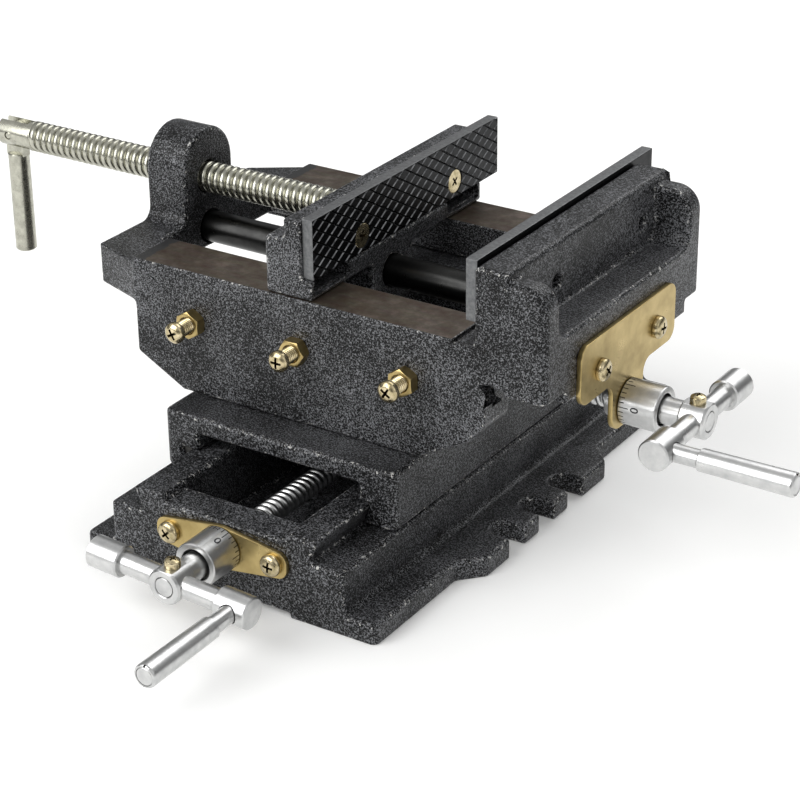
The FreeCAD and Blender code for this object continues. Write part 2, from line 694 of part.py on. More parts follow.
def vise_body():
    """Vise body: front wall, rails, nut block with its boss, and the fixed jaw."""
    casting = Casting("vise_body")
    front, back = S["body_front"], S["body_back"]
    left, right = S["front_left"], S["body_right"]
    wall_bottom = S["saddle_top"] + S["wall_gap"]
    slot_low = upper_middle - lower_foot - S["slide_gap"] - S["gib_thickness"]
    slot_high = upper_middle + lower_foot + S["slide_gap"]
    rail_in_front = front + S["rail_width"]
    rail_in_back = back - S["rail_width"]
    jaw_foot = S["jaw_block_start"] + S["groove_width"]
    channel_end = S["fixed_face"] + S["channel_run_out"]
    casting.pad("XZ", front, slot_low, [
        (left, S["rail_top"]), (left, S["front_slope_top"]),
        (S["front_low_left"], wall_bottom), (S["front_low_right"], wall_bottom),
        (S["front_knee"], S["front_slope_top"]), (S["front_right"], S["front_step"]),
        (S["front_right"], S["rail_top"]),
    ])
    casting.pad("XY", S["rail_bottom"], S["rail_top"],
                rectangle(left, web_back, front, back))
    leg_back = back - S["back_leg_inset"]
    casting.pad("XY", S["back_leg_bottom"], S["rail_top"],
                rectangle(left, S["slot_end"], rail_in_back, leg_back))
    casting.pad("XY", S["block_bottom"], S["block_top"], [
        (S["block_left"], S["block_front"]), (left, front),
        (left, back), (S["block_left"], S["block_back"]),
    ])
    casting.pad("XZ", front, S["jaw_far_end"], [
        (jaw_foot, S["end_front_bottom"]), (right, S["end_front_bottom"]),
        (right, S["cheek_top"], S["cheek_round"]), (web_back, S["cheek_top"]),
        (web_back, S["web_top"], S["web_round"]), (web_front, S["web_top"], S["web_round"]),
        (web_front, S["rail_top"]), (jaw_foot, S["rail_top"]),
    ])
    casting.pad("XY", S["end_bottom"], S["rail_top"],
                rectangle(S["slot_end"], right, S["end_middle_front"], leg_back))
    cheek_front = front + S["cheek_thickness"]
    cheek_back = S["jaw_far_end"] - S["cheek_thickness"]
    casting.cut("YZ", web_back, right, [
        (cheek_front, S["pocket_floor"], S["pocket_round"]),
        (cheek_back, S["pocket_floor"], S["pocket_round"]),
        (cheek_back, S["web_top"]), (cheek_front, S["web_top"]),
    ])
    casting.pad("YZ", S["block_left"], S["boss_right"], rectangle(
        S["clamp_y"] - S["boss_radius"], S["clamp_y"] + S["boss_radius"],
        S["block_bottom"], S["clamp_z"] + S["boss_rise"]))
    casting.pad("YZ", S["block_left"], S["boss_right"],
                (S["clamp_y"], S["clamp_z"] + S["boss_rise"], S["boss_radius"]))
    casting.cut("XY", S["block_bottom"], S["rail_top"],
                rectangle(S["boss_right"], channel_end, rail_in_front, rail_in_back))
    casting.cut("YZ", S["block_left"], S["slot_end"],
                dovetail_channel(slot_low, slot_high, S["upper_neck"], slot_top))
    casting.cut("XZ", front, slot_low, rectangle(
        S["front_right"], S["slot_end"], S["end_front_bottom"], slot_top))
    groove_floor = S["rail_top"] - S["groove_depth"]
    casting.cut("XY", groove_floor, S["rail_top"],
                rectangle(S["jaw_block_start"], jaw_foot, front, back))
    for offset in gib_rows:
        casting.cut("XZ", front, slot_low, (offset, upper_gib_z, gib_bore))
    plate_bore = S["plate_screw"] / 2 + S["fit_gap"]
    for row in screw_rows:
        casting.cut("YZ", web_front, web_back, (row, S["plate_screw_height"], plate_bore))
    for side in (-1, 1):
        casting.cut("YZ", right - S["small_length"] - S["fit_gap"], right,
                    (upper_middle + side * S["upper_plate_screw"],
                     S["upper_plate_screw_z"], S["small_screw"] / 2 + S["fit_gap"]))
    bar_bore = S["guide_bar"] / 2 + S["fit_gap"]
    casting.cut("YZ", S["block_left"], S["boss_right"],
                (S["clamp_y"], S["guide_z"], bar_bore))
    casting.cut("YZ", channel_end, guide_right, (S["clamp_y"], S["guide_z"], bar_bore))
    casting.cut("YZ", S["block_left"], S["boss_right"],
                (S["clamp_y"], S["clamp_z"], S["clamp_screw"] / 2 + S["thread_gap"]))

    def boss_foot(edge):
        level = abs(edge.CenterOfMass.z - S["block_top"].number) < NEAR
        aside = abs(abs(edge.CenterOfMass.y - S["clamp_y"].number)
                    - S["boss_radius"].number) < NEAR
        return level and aside and edge.BoundBox.XLength > S["boss_fillet"].number

    def jaw_corner(edge):
        upright = edge.BoundBox.ZLength > S["jaw_corner"].number and edge.BoundBox.XLength < NEAR
        outside = (abs(edge.CenterOfMass.y - front.number) < NEAR
                   or abs(edge.CenterOfMass.y - S["jaw_far_end"].number) < NEAR)
        return upright and outside and abs(edge.CenterOfMass.x - right.number) < NEAR

    casting.fillet(S["boss_fillet"], boss_foot)
    casting.fillet(S["jaw_corner"], jaw_corner)
    return casting.done()


def moving_jaw():
    """Moving jaw with its feet on the rails and its tongue round the guide bar."""
    casting = Casting("moving_jaw")
    front, back = S["body_front"] + S["jaw_inset"], S["jaw_far_end"]
    upper_left = jaw_face - S["jaw_upper"]
    casting.pad("XZ", front, back, [
        (jaw_left, jaw_bottom), (S["moving_face"], jaw_bottom),
        (S["moving_face"], S["plate_bottom"]), (jaw_face, S["plate_bottom"]),
        (jaw_face, S["jaw_top"]), (upper_left, S["jaw_top"], S["jaw_top_round"]),
        (upper_left, S["jaw_step_top"]), (jaw_left, S["jaw_step_top"], S["jaw_step_round"]),
    ])
    tongue = S["tongue_width"] / 2
    casting.pad("XY", S["tongue_bottom"], S["plate_bottom"], rectangle(
        jaw_left, S["moving_face"], S["clamp_y"] - tongue, S["clamp_y"] + tongue))
    pocket_back = S["moving_face"] - S["foot_pocket_depth"]
    rim = S["foot_rim"]
    turn = S["foot_pocket_round"]
    for low in (front + rim, back - rim - S["foot_pocket_width"]):
        high = low + S["foot_pocket_width"]
        casting.cut("YZ", pocket_back, S["moving_face"], [
            (low, jaw_bottom + rim, turn), (high, jaw_bottom + rim, turn),
            (high, S["plate_bottom"]), (low, S["plate_bottom"]),
        ])
    casting.cut("YZ", jaw_left, S["moving_face"], (
        S["clamp_y"], S["guide_z"], S["guide_bar"] / 2 + S["slide_gap"]))
    casting.cut("YZ", jaw_left, jaw_left + S["journal_length"] + S["fit_gap"], (
        S["clamp_y"], S["clamp_z"], S["journal"] / 2 + S["fit_gap"]))
    for row in screw_rows:
        casting.cut("YZ", jaw_face - S["plate_screw_grip"] - S["fit_gap"], jaw_face,
                    (row, S["plate_screw_height"], S["plate_screw"] / 2 + S["fit_gap"]))
    casting.cut("XY", pin_bottom, S["jaw_step_top"],
                (pin_x, pin_y, S["retaining_pin"] / 2 + S["fit_gap"]))
    return casting.done()


def gibs():
    """Gib strips, their screws and lock nuts for both slides."""
    near = -lower_foot - S["slide_gap"]
    far = near - S["gib_thickness"]
    foot, top = S["base_body_top"] + S["lift_gap"], lower_dovetail_top
    lean_foot = slope * S["lift_gap"]
    strip = Casting("lower_gib")
    strip.pad("XZ", saddle_front + S["gib_end_gap"], saddle_back - S["gib_end_gap"], [
        (near - lean_foot, foot), (near - S["dovetail_lean"], top),
        (far - S["dovetail_lean"], top), (far - lean_foot, foot),
    ])
    strip.done()
    strip = Casting("upper_gib")
    foot, top = S["upper_neck"] + S["lift_gap"], upper_dovetail_top
    strip.pad("YZ", S["front_left"] + S["gib_end_gap"], S["front_right"] - S["gib_end_gap"], [
        (upper_middle + near - lean_foot, foot),
        (upper_middle + near - S["dovetail_lean"], top),
        (upper_middle + far - S["dovetail_lean"], top),
        (upper_middle + far - lean_foot, foot),
    ])
    strip.done()
    tip = far - slope * (S["dovetail_height"] / 2 + S["gib_screw"] / 2) - S["fit_gap"]
    lower_places = [(saddle_left, upper_middle + offset, lower_gib_z) for offset in gib_rows]
    upper_places = [(offset, S["body_front"], upper_gib_z) for offset in gib_rows]
    gib_hardware("lower", "-X", lower_places, tip - saddle_left)
    gib_hardware("upper", "-Y", upper_places, upper_middle + tip - S["body_front"])


def gib_hardware(slide, axis, places, inside):
    """One row of gib screws with their lock nuts, standing out of a wall."""
    screws, nuts = [], []
    for place in places:
        start = along(axis, place, -inside)
        shank = rod(f"{slide}_gib_shank", axis, start, S["gib_screw"],
                    inside + S["gib_screw_out"])
        head = rod(f"{slide}_gib_head", axis,
                   along(axis, place, S["gib_screw_out"] - S["gib_head_thick"]),
                   S["gib_head"], S["gib_head_thick"])
        screws.append(fuse(f"{slide}_gib_screw", [shank, head]))
        nut = hexagon(f"{slide}_gib_hexagon", axis, place, S["gib_nut_across"],
                      S["gib_nut_thick"])
        hole = rod(f"{slide}_gib_hole", axis, place, S["gib_screw"] + 2 * S["fit_gap"],
                   S["gib_nut_thick"])
        nuts.append(cut(f"{slide}_gib_nut", nut, [hole]))
    group(f"{slide}_gib_screws", screws)
    group(f"{slide}_gib_nuts", nuts)


def jaw_plate(name, screws_name, side, face):
    """A hardened jaw plate with two countersunk screws. side is +1 if it faces +X."""
    low = face - S["plate_thickness"] if side > 0 else face
    high = face if side > 0 else face + S["plate_thickness"]
    blank = box(f"{name}_blank", (low, S["plate_front"], S["plate_bottom"]),
                (high, plate_back_end, plate_top))
    inward = "-X" if side > 0 else "X"
    depth = (S["plate_screw_head"] - S["plate_screw"]) / 2
    holes, screws = [], []
    for row in screw_rows:
        start = (face, row, S["plate_screw_height"])
        gap = 2 * S["fit_gap"]
        holes.append(rod(f"{name}_sink", inward, start, S["plate_screw_head"] + gap, depth,
                         S["plate_screw"] + gap))
        holes.append(rod(f"{name}_bore", inward, start, S["plate_screw"] + gap,
                         S["plate_thickness"]))
        head = rod(f"{screws_name}_head", inward, start, S["plate_screw_head"], depth,
                   S["plate_screw"])
        shank = rod(f"{screws_name}_shank", inward, start, S["plate_screw"],
                    S["plate_thickness"] + S["plate_screw_grip"])
        screws.append(fuse(f"{screws_name}_one", [head, shank]))
    node(cut(f"{name}_cut", blank, holes), name)
    group(screws_name, screws)


def clamp_parts():
    """Clamp screw, its retaining pin, its folding handle with a pin, and the guide bar."""
    axis_y, axis_z = S["clamp_y"], S["clamp_z"]
    head_end = S["clamp_head_left"] + S["clamp_head_length"]
    head = rod("clamp_head", "X", (S["clamp_head_left"], axis_y, axis_z), S["clamp_head"],
               S["clamp_head_length"])
    thread = ringed_rod("clamp_thread", "X", (head_end, axis_y, axis_z), S["clamp_screw"],
                        S["thread_depth"], S["clamp_pitch"],
                        jaw_left - S["fit_gap"] - head_end)
    journal = rod("clamp_journal", "X", (jaw_left - S["clamp_pitch"], axis_y, axis_z),
                  S["journal"], S["clamp_pitch"] + S["journal_length"] - S["fit_gap"])
    groove_start = pin_x - S["retaining_pin"] / 2 - S["fit_gap"]
    groove_width = S["retaining_pin"] + 2 * S["fit_gap"]
    ring = cut("clamp_groove",
               rod("clamp_groove_out", "X", (groove_start, axis_y, axis_z),
                   S["clamp_screw"], groove_width),
               [rod("clamp_groove_in", "X", (groove_start, axis_y, axis_z),
                    S["journal_groove"], groove_width)])
    half_slot = S["clamp_slot_width"] / 2
    slot = box("clamp_slot",
               (S["clamp_head_left"], axis_y - half_slot, axis_z - S["clamp_head"]),
               (S["clamp_head_left"] + S["clamp_slot_length"], axis_y + half_slot,
                axis_z + S["clamp_head"]))
    pivot_x = S["clamp_head_left"] + S["handle_pin_inset"]
    pin_start = (pivot_x, axis_y - S["clamp_head"] / 2 + S["thread_gap"], axis_z)
    pin_length = S["clamp_head"] - 2 * S["thread_gap"]
    pin_hole = rod("clamp_pin_hole", "Y", (pivot_x, axis_y - S["clamp_head"], axis_z),
                   S["handle_pin"] + 2 * S["fit_gap"], 2 * S["clamp_head"])
    node(cut("clamp_screw_cut", fuse("clamp_screw_blank", [head, thread, journal]),
             [ring, slot, pin_hole]), "clamp_screw")
    node(rod("clamp_handle_pin_rod", "Y", pin_start, S["handle_pin"], pin_length),
         "clamp_handle_pin")
    half_tang = S["handle_tang"] / 2
    half_bar = S["handle_bar"] / 2
    eye = rod("handle_eye", "Y", (pivot_x, axis_y - half_tang, axis_z), S["handle_bar"],
              S["handle_tang"])
    tang = box("handle_tang", (pivot_x - half_bar, axis_y - half_tang,
                               axis_z - S["handle_shoulder"]),
               (pivot_x + half_bar, axis_y + half_tang, axis_z))
    bar = rod("handle_bar", "-Z", (pivot_x, axis_y, axis_z - S["handle_shoulder"]),
              S["handle_bar"], S["handle_length"] - S["handle_shoulder"])
    hole = rod("handle_hole", "Y", (pivot_x, axis_y - S["clamp_head"], axis_z),
               S["handle_pin"] + 4 * S["fit_gap"], 2 * S["clamp_head"])
    node(cut("clamp_handle_cut", fuse("clamp_handle_blank", [eye, tang, bar]), [hole]),
         "clamp_handle")
    node(rod("retaining_pin_rod", "-Z", (pin_x, pin_y, S["jaw_step_top"]),
             S["retaining_pin"], S["jaw_step_top"] - pin_bottom - S["fit_gap"]),
         "clamp_retaining_pin")
    node(rod("guide_bar_rod", "X", (guide_left, axis_y, S["guide_z"]), S["guide_bar"],
             guide_right - S["fit_gap"] - guide_left), "guide_bar")


def turned(item, axis, place, degrees):
    """Turn a finished object about an axis through a place."""
    line = TURNS[axis].multVec(Vector(0, 0, 1))
    centre = Vector(*(Size.of(part).number for part in place))
    item.Placement = FreeCAD.Placement(Vector(), Rotation(line, degrees.number), centre)
    return item


def drive(slide, out_axis, cross_axis, face, thread_length):
    """Lead screw, dial, crank and handle of one slide.

    face is where the screw's axis meets the face that its plate lies on, out_axis
    points away from the casting and cross_axis points from the hub to the handle.
    """
    tilt = -S[f"{slide}_crank_tilt"]
    in_axis = opposite(out_axis)
    collar = rod(f"{slide}_collar", in_axis, face, S["screw_collar"],
                 S["screw_collar_thick"])
    thread = ringed_rod(f"{slide}_thread", in_axis,
                        along(in_axis, face, S["screw_collar_thick"]), S["lead_screw"],
                        S["thread_depth"], S["lead_pitch"],
                        thread_length - S["screw_collar_thick"])
    hub_end = S["hub_start"] + S["hub_length"]
    shaft = rod(f"{slide}_shaft", out_axis, face, S["shaft"], hub_end)
    node(fuse(f"{slide}_screw_fuse", [collar, thread, shaft]), f"{slide}_lead_screw")

    dial_start = S["screw_plate_thick"] + S["dial_gap"]
    gap = 2 * S["fit_gap"]
    dial = rod(f"{slide}_dial_rim", out_axis, along(out_axis, face, dial_start), S["dial"],
               S["dial_length"])
    bore = rod(f"{slide}_dial_shaft_bore", out_axis, face, S["shaft"] + gap, hub_end)
    cup_start = dial_start + S["dial_web"]
    cup = rod(f"{slide}_dial_cup", out_axis, along(out_axis, face, cup_start),
              S["dial_bore"], S["dial_length"])
    node(cut(f"{slide}_dial_cut", dial, [bore, cup]), f"{slide}_dial")

    middle = S["hub_start"] + S["hub_length"] / 2
    centre = along(out_axis, face, middle)
    hub = rod(f"{slide}_hub", out_axis, along(out_axis, face, S["hub_start"]), S["hub"],
              S["hub_length"])
    neck_start = cup_start + S["dial_gap"]
    neck = rod(f"{slide}_hub_neck", out_axis, along(out_axis, face, neck_start),
               S["hub_neck"], middle - neck_start)
    arm = rod(f"{slide}_crank_bar", cross_axis, along(cross_axis, centre, -S["crank_reach"]),
              S["crank_bar"], 2 * S["crank_reach"])
    knobs = [rod(f"{slide}_crank_knob", cross_axis,
                 along(cross_axis, centre, side * S["crank_reach"] - S["knob_length"] / 2),
                 S["crank_knob"], S["knob_length"]) for side in (-1, 1)]
    grip_axis = along(cross_axis, face, S["crank_reach"])
    spindle_bore = rod(f"{slide}_spindle_bore", out_axis,
                       along(out_axis, grip_axis, middle),
                       S["spindle_neck"] + gap, S["crank_knob"])
    top = along("Z", centre, S["shaft"] / 2 + S["fit_gap"])
    screw_bore = rod(f"{slide}_set_bore", "Z", centre, S["crank_set_screw"] + gap, S["hub"])
    crank = cut(f"{slide}_crank_cut",
                fuse(f"{slide}_crank_blank", [hub, neck, arm] + knobs),
                [rod(f"{slide}_crank_bore", out_axis, face, S["shaft"] + gap, 2 * hub_end),
                 spindle_bore, screw_bore])
    node(turned(crank, out_axis, face, tilt), f"{slide}_crank_arm")
    seat = along("Z", centre, S["hub"] / 2)
    shank = rod(f"{slide}_set_shank", "Z", top, S["crank_set_screw"],
                (S["hub"] - S["shaft"]) / 2)
    cap = rod(f"{slide}_set_head", "Z", seat, S["set_screw_head"], S["set_head_thick"])
    node(turned(fuse(f"{slide}_set_fuse", [shank, cap]), out_axis, face, tilt),
         f"{slide}_crank_set_screw")

    sleeve_start = S["grip_start"]
    rivet_start = sleeve_start + S["grip_length"] - S["rivet_thick"]
    spindle_neck = rod(f"{slide}_spindle_neck", out_axis,
                       along(out_axis, grip_axis, middle + S["fit_gap"]),
                       S["spindle_neck"], sleeve_start - middle - S["dial_gap"])
    spindle = rod(f"{slide}_spindle_rod", out_axis,
                  along(out_axis, grip_axis, middle + S["fit_gap"]),
                  S["spindle"], rivet_start - middle)
    rivet = rod(f"{slide}_spindle_rivet", out_axis, along(out_axis, grip_axis, rivet_start),
                S["spindle_neck"], S["rivet_thick"])
    spindle = fuse(f"{slide}_spindle_fuse", [spindle_neck, spindle, rivet])
    node(turned(spindle, out_axis, face, tilt), f"{slide}_handle_spindle")
    sleeve = rod(f"{slide}_sleeve", out_axis, along(out_axis, grip_axis, sleeve_start),
                 S["grip"], S["grip_length"], S["grip_end"])
    sleeve_bore = rod(f"{slide}_sleeve_bore", out_axis,
                      along(out_axis, grip_axis, middle), S["spindle"] + 2 * gap,
                      sleeve_start + S["grip_length"])
    rivet_seat = rod(f"{slide}_sleeve_seat", out_axis,
                     along(out_axis, grip_axis, rivet_start - S["fit_gap"] * 2),
                     S["spindle_neck"] + 2 * gap, S["grip_length"])
    grip = cut(f"{slide}_sleeve_cut", sleeve, [sleeve_bore, rivet_seat])
    node(turned(grip, out_axis, face, tilt), f"{slide}_handle_grip")


def screw_plates():
    """The two steel plates that hold the lead screws, with their pan head screws."""
    thick = S["screw_plate_thick"]
    shaft_bore = S["shaft"] / 2 + 2 * S["fit_gap"]
    screw_bore = S["small_screw"] / 2 + S["fit_gap"]
    half, rise, end = S["lower_plate_half"], S["lower_plate_rise"], S["lower_plate_end"]
    level = S["lower_screw_z"]
    tip, middle = S["lower_plate_corner"], S["lower_plate_round"]
    plate = Casting("lower_screw_plate")
    plate.pad("XZ", base_front - thick, base_front, [
        (-half, level - end, tip), (ZERO, level - rise, middle),
        (half, level - end, tip), (half, level + end, tip),
        (ZERO, level + rise, middle), (-half, level + end, tip),
    ])
    plate.cut("XZ", base_front - thick, base_front, (ZERO, level, shaft_bore))
    for side in (-1, 1):
        plate.cut("XZ", base_front - thick, base_front,
                  (side * S["lower_plate_screw"], level, screw_bore))
    plate.done()
    right = S["body_right"]
    half, neck = S["upper_plate_half"], S["upper_plate_neck"]
    foot = S["upper_screw_z"] - S["upper_plate_foot"]
    turn, foot_turn = S["upper_plate_corner"], S["upper_plate_foot_round"]
    bottom, top = S["upper_plate_bottom"], S["upper_plate_top"]
    plate = Casting("upper_screw_plate")
    plate.pad("YZ", right, right + thick, [
        (upper_middle - half, bottom, turn), (upper_middle - neck, bottom, turn),
        (upper_middle - neck, foot, foot_turn), (upper_middle + neck, foot, foot_turn),
        (upper_middle + neck, bottom, turn), (upper_middle + half, bottom, turn),
        (upper_middle + half, top, turn), (upper_middle - half, top, turn),
    ])
    plate.cut("YZ", right, right + thick, (upper_middle, S["upper_screw_z"], shaft_bore))
    lower, upper = [], []
    for side in (-1, 1):
        row = upper_middle + side * S["upper_plate_screw"]
        plate.cut("YZ", right, right + thick, (row, S["upper_plate_screw_z"], screw_bore))
        upper.append(headed_screw(
            "upper_plate_screw", "-X", (right + thick, row, S["upper_plate_screw_z"]),
            S["small_screw"], S["small_length"] + thick, S["small_head"],
            S["small_head_thick"]))
        lower.append(headed_screw(
            "lower_plate_screw", "Y",
            (side * S["lower_plate_screw"], base_front - thick, level),
            S["small_screw"], S["small_length"] + thick, S["small_head"],
            S["small_head_thick"]))
    plate.done()
    group("lower_plate_screws", lower)
    group("upper_plate_screws", upper)


def screw_nuts():
    """The nuts of both lead screws, each bolted to the saddle with two cap screws."""
    half_length, half_width = S["nut_length"] / 2, S["nut_width"] / 2
    bore = S["lead_screw"] + 2 * S["thread_gap"]
    hole = S["nut_bolt"] + 2 * S["fit_gap"]
    relief_top, floor = S["saddle_relief_top"], S["saddle_channel_floor"]
    sink = S["nut_bolt_sink"]
    grip = S["nut_bolt_grip"]
    blank = box("lower_nut_blank",
                (-half_width, upper_middle - half_length, S["lower_nut_bottom"]),
                (half_width, upper_middle + half_length, relief_top))
    holes = [rod("lower_nut_bore", "Y",
                 (ZERO, upper_middle - S["nut_length"], S["lower_screw_z"]), bore,
                 2 * S["nut_length"])]
    bolts = []
    for side in (-1, 1):
        offset = side * S["nut_bolt_offset"]
        holes.append(rod("lower_nut_hole", "-Z", (offset, upper_middle, relief_top), hole,
                         grip + S["fit_gap"]))
        bolts.append(headed_screw(
            "lower_nut_bolt", "-Z", (offset, upper_middle, floor - sink), S["nut_bolt"],
            floor - sink - relief_top + grip, S["nut_bolt_head"],
            S["nut_bolt_head_thick"]))
    node(cut("lower_nut_cut", blank, holes), "lower_screw_nut")
    group("lower_nut_bolts", bolts)
    blank = box("upper_nut_blank",
                (S["upper_nut_x"] - half_length, upper_middle - half_width, floor),
                (S["upper_nut_x"] + half_length, upper_middle + half_width,
                 S["upper_nut_top"]))
    holes = [rod("upper_nut_bore", "X",
                 (S["upper_nut_x"] - S["nut_length"], upper_middle, S["upper_screw_z"]),
                 bore, 2 * S["nut_length"])]
    bolts = []
    for side in (-1, 1):
        offset = upper_middle + side * S["nut_bolt_offset"]
        holes.append(rod("upper_nut_hole", "Z", (S["upper_nut_x"], offset, floor), hole,
                         grip + S["fit_gap"]))
        bolts.append(headed_screw(
            "upper_nut_bolt", "Z", (S["upper_nut_x"], offset, relief_top + sink),
            S["nut_bolt"], floor - sink - relief_top + grip, S["nut_bolt_head"],
            S["nut_bolt_head_thick"]))
    node(cut("upper_nut_cut", blank, holes), "upper_screw_nut")
    group("upper_nut_bolts", bolts)


def check():
    """Stop if any object failed or any node is empty, broken or in too many pieces."""
    doc.recompute()
    for item in doc.Objects:
        if {"Invalid", "Error"} & set(item.State):
            raise RuntimeError(f"{item.Label}: {item.State}")
    for item in NODES:
        shape = item.Shape
        if shape.isNull() or not shape.isValid() or not shape.Solids:
            raise RuntimeError(f"{item.Label}: no valid solid")


base_casting()
saddle_casting()
vise_body()
moving_jaw()
gibs()
jaw_plate("moving_jaw_plate", "moving_jaw_screws", 1, S["moving_face"])
jaw_plate("fixed_jaw_plate", "fixed_jaw_screws", -1, S["fixed_face"])
clamp_parts()
drive("lower", "-Y", "X", (ZERO, base_front, S["lower_screw_z"]),
      S["lower_screw_end"] - base_front)
drive("upper", "X", "-Y", (S["body_right"], upper_middle, S["upper_screw_z"]),
      S["body_right"] - S["upper_screw_end"])
screw_plates()
screw_nuts()
check()
os.makedirs("parts", exist_ok=True)
for piece in NODES:
    piece.Shape.exportStep(f"parts/{piece.Label}.step")
    print(f"{piece.Label:26s} solids {len(piece.Shape.Solids)} "
          f"volume {piece.Shape.Volume:10.1f} mm3")
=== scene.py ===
"""Looks of a cross slide vise, built round its solid model.

The castings are dressed in hammertone paint with rounded cast edges, and the plated and
machined pieces are modelled afresh: threads, screw heads with their cross recesses, nuts,
dials with marks, cranks, handles and grooved jaw plates. Shapes are made in millimetres
about their own axis and then placed in the frame of the solids, which is in metres.
"""

import json
import logging
import math
from contextlib import contextmanager
from dataclasses import dataclass
from enum import Enum
from typing import Callable, Iterator, Sequence

import bmesh
import bpy
from mathutils import Matrix, Vector
from mathutils.bvhtree import BVHTree

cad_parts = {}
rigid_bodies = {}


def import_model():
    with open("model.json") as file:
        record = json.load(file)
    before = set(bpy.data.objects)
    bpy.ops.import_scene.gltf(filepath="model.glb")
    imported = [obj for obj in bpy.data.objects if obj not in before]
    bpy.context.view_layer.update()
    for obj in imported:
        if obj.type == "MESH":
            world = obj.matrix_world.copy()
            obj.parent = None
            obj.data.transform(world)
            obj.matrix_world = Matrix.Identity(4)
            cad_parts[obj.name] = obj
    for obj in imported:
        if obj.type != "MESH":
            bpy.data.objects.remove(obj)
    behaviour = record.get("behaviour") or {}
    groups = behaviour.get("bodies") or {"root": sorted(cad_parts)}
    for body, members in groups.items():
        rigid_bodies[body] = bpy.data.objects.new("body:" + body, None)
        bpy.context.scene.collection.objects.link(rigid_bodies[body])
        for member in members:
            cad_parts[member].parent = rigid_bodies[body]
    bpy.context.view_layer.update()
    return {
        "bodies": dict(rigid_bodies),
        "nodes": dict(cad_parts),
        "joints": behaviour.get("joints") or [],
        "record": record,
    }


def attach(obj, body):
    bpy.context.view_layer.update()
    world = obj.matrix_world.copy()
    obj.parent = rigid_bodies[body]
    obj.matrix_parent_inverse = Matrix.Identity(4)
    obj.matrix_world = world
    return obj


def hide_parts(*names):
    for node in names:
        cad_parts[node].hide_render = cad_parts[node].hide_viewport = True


log = logging.getLogger("cross_slide_vise")

MM = 0.001
SHARP = math.radians(34)
THREAD_SHARP = math.radians(62)
WELD = 0.002 * MM
FLAT = math.radians(0.8)

Outline = Sequence[tuple[float, float]]
FaceTest = Callable[[Vector, Vector], bool]


class Axis(Enum):
    """Directions in the frame that pieces are set along."""

    RIGHT = (1, 0, 0)
    BACK = (0, 1, 0)
    FRONT = (0, -1, 0)
    UP = (0, 0, 1)

    def vector(self) -> Vector:
        """The unit vector."""
        return Vector(self.value)


class Cut(Enum):
    """Ways to combine two closed shapes."""

    AWAY = "DIFFERENCE"
    JOINED = "UNION"
    SHARED = "INTERSECT"


def seat(origin: Sequence[float], across: Axis, up: Axis, turn: float = 0.0) -> Matrix:
    """Where a shape in millimetres sits in the frame.

    Args:
        origin: The shape's own origin, in millimetres in the frame.
        across: The frame's axis that the shape's X points along.
        up: The frame's axis that the shape's Y points along.
        turn: A turn about the shape's own Z, in degrees.

    Returns:
        The matrix from the shape's millimetres to the frame's metres.
    """
    x, y = across.vector(), up.vector()
    columns = Matrix((x, y, x.cross(y))).transposed().to_4x4()
    spin = Matrix.Rotation(math.radians(turn), 4, "Z")
    return Matrix.Scale(MM, 4) @ Matrix.Translation(origin) @ columns @ spin


def linear(code: str) -> tuple[float, float, float, float]:
    """Turn an sRGB hex colour into linear light.

    Args:
        code: Six hex digits, with or without a leading hash.

    Returns:
        Red, green, blue and an alpha of one.
    """
    digits = code.lstrip("#")
    channels = [int(digits[i:i + 2], 16) / 255 for i in (0, 2, 4)]
    light = [c / 12.92 if c <= 0.04045 else ((c + 0.055) / 1.055) ** 2.4 for c in channels]
    return light[0], light[1], light[2], 1.0


def add_node(tree: bpy.types.NodeTree, kind: str, links: dict | None = None,
             **settings: object) -> bpy.types.Node:
    """Add one node with its settings, socket values and incoming links.

    Args:
        tree: The node tree.
        kind: The node's type name.
        links: Input socket name or number to an output socket or a plain value.
        settings: Properties of the node itself.

    Returns:
        The new node.
    """
    node = tree.nodes.new(kind)
    for name, value in settings.items():
        setattr(node, name, value)
    for key, value in (links or {}).items():
        if isinstance(value, bpy.types.NodeSocket):
            tree.links.new(value, node.inputs[key])
        else:
            node.inputs[key].default_value = value
    return node


def set_ramp(node: bpy.types.Node, stops: Sequence[tuple[float, str]]) -> None:
    """Give a colour ramp its stops.

    Args:
        node: The ramp node.
        stops: Place and hex colour of each stop, in rising order.
    """
    ramp = node.color_ramp
    for index, (place, code) in enumerate(stops):
        stop = ramp.elements[index] if index < 2 else ramp.elements.new(place)
        stop.position = place
        stop.color = linear(code)


@dataclass(frozen=True)
class Finish:
    """A surface finish that builds one procedural material."""

    name: str

    def build(self) -> bpy.types.Material:
        """Make the material, or return it if it is there already."""
        found = bpy.data.materials.get(self.name)
        if found:
            return found
        material = bpy.data.materials.new(self.name)
        material.use_nodes = True
        tree = material.node_tree
        tree.nodes.clear()
        shader = add_node(tree, "ShaderNodeBsdfPrincipled")
        add_node(tree, "ShaderNodeOutputMaterial", {"Surface": shader.outputs["BSDF"]})
        place = add_node(tree, "ShaderNodeTexCoord").outputs["Object"]
        self.dress(tree, shader, place)
        return material

    def dress(self, tree: bpy.types.NodeTree, shader: bpy.types.Node,
              place: bpy.types.NodeSocket) -> None:
        """Set the shader up. Each finish has its own way.

        Args:
            tree: The material's node tree.
            shader: Its Principled shader.
            place: Object coordinates, in metres.
        """
        raise NotImplementedError


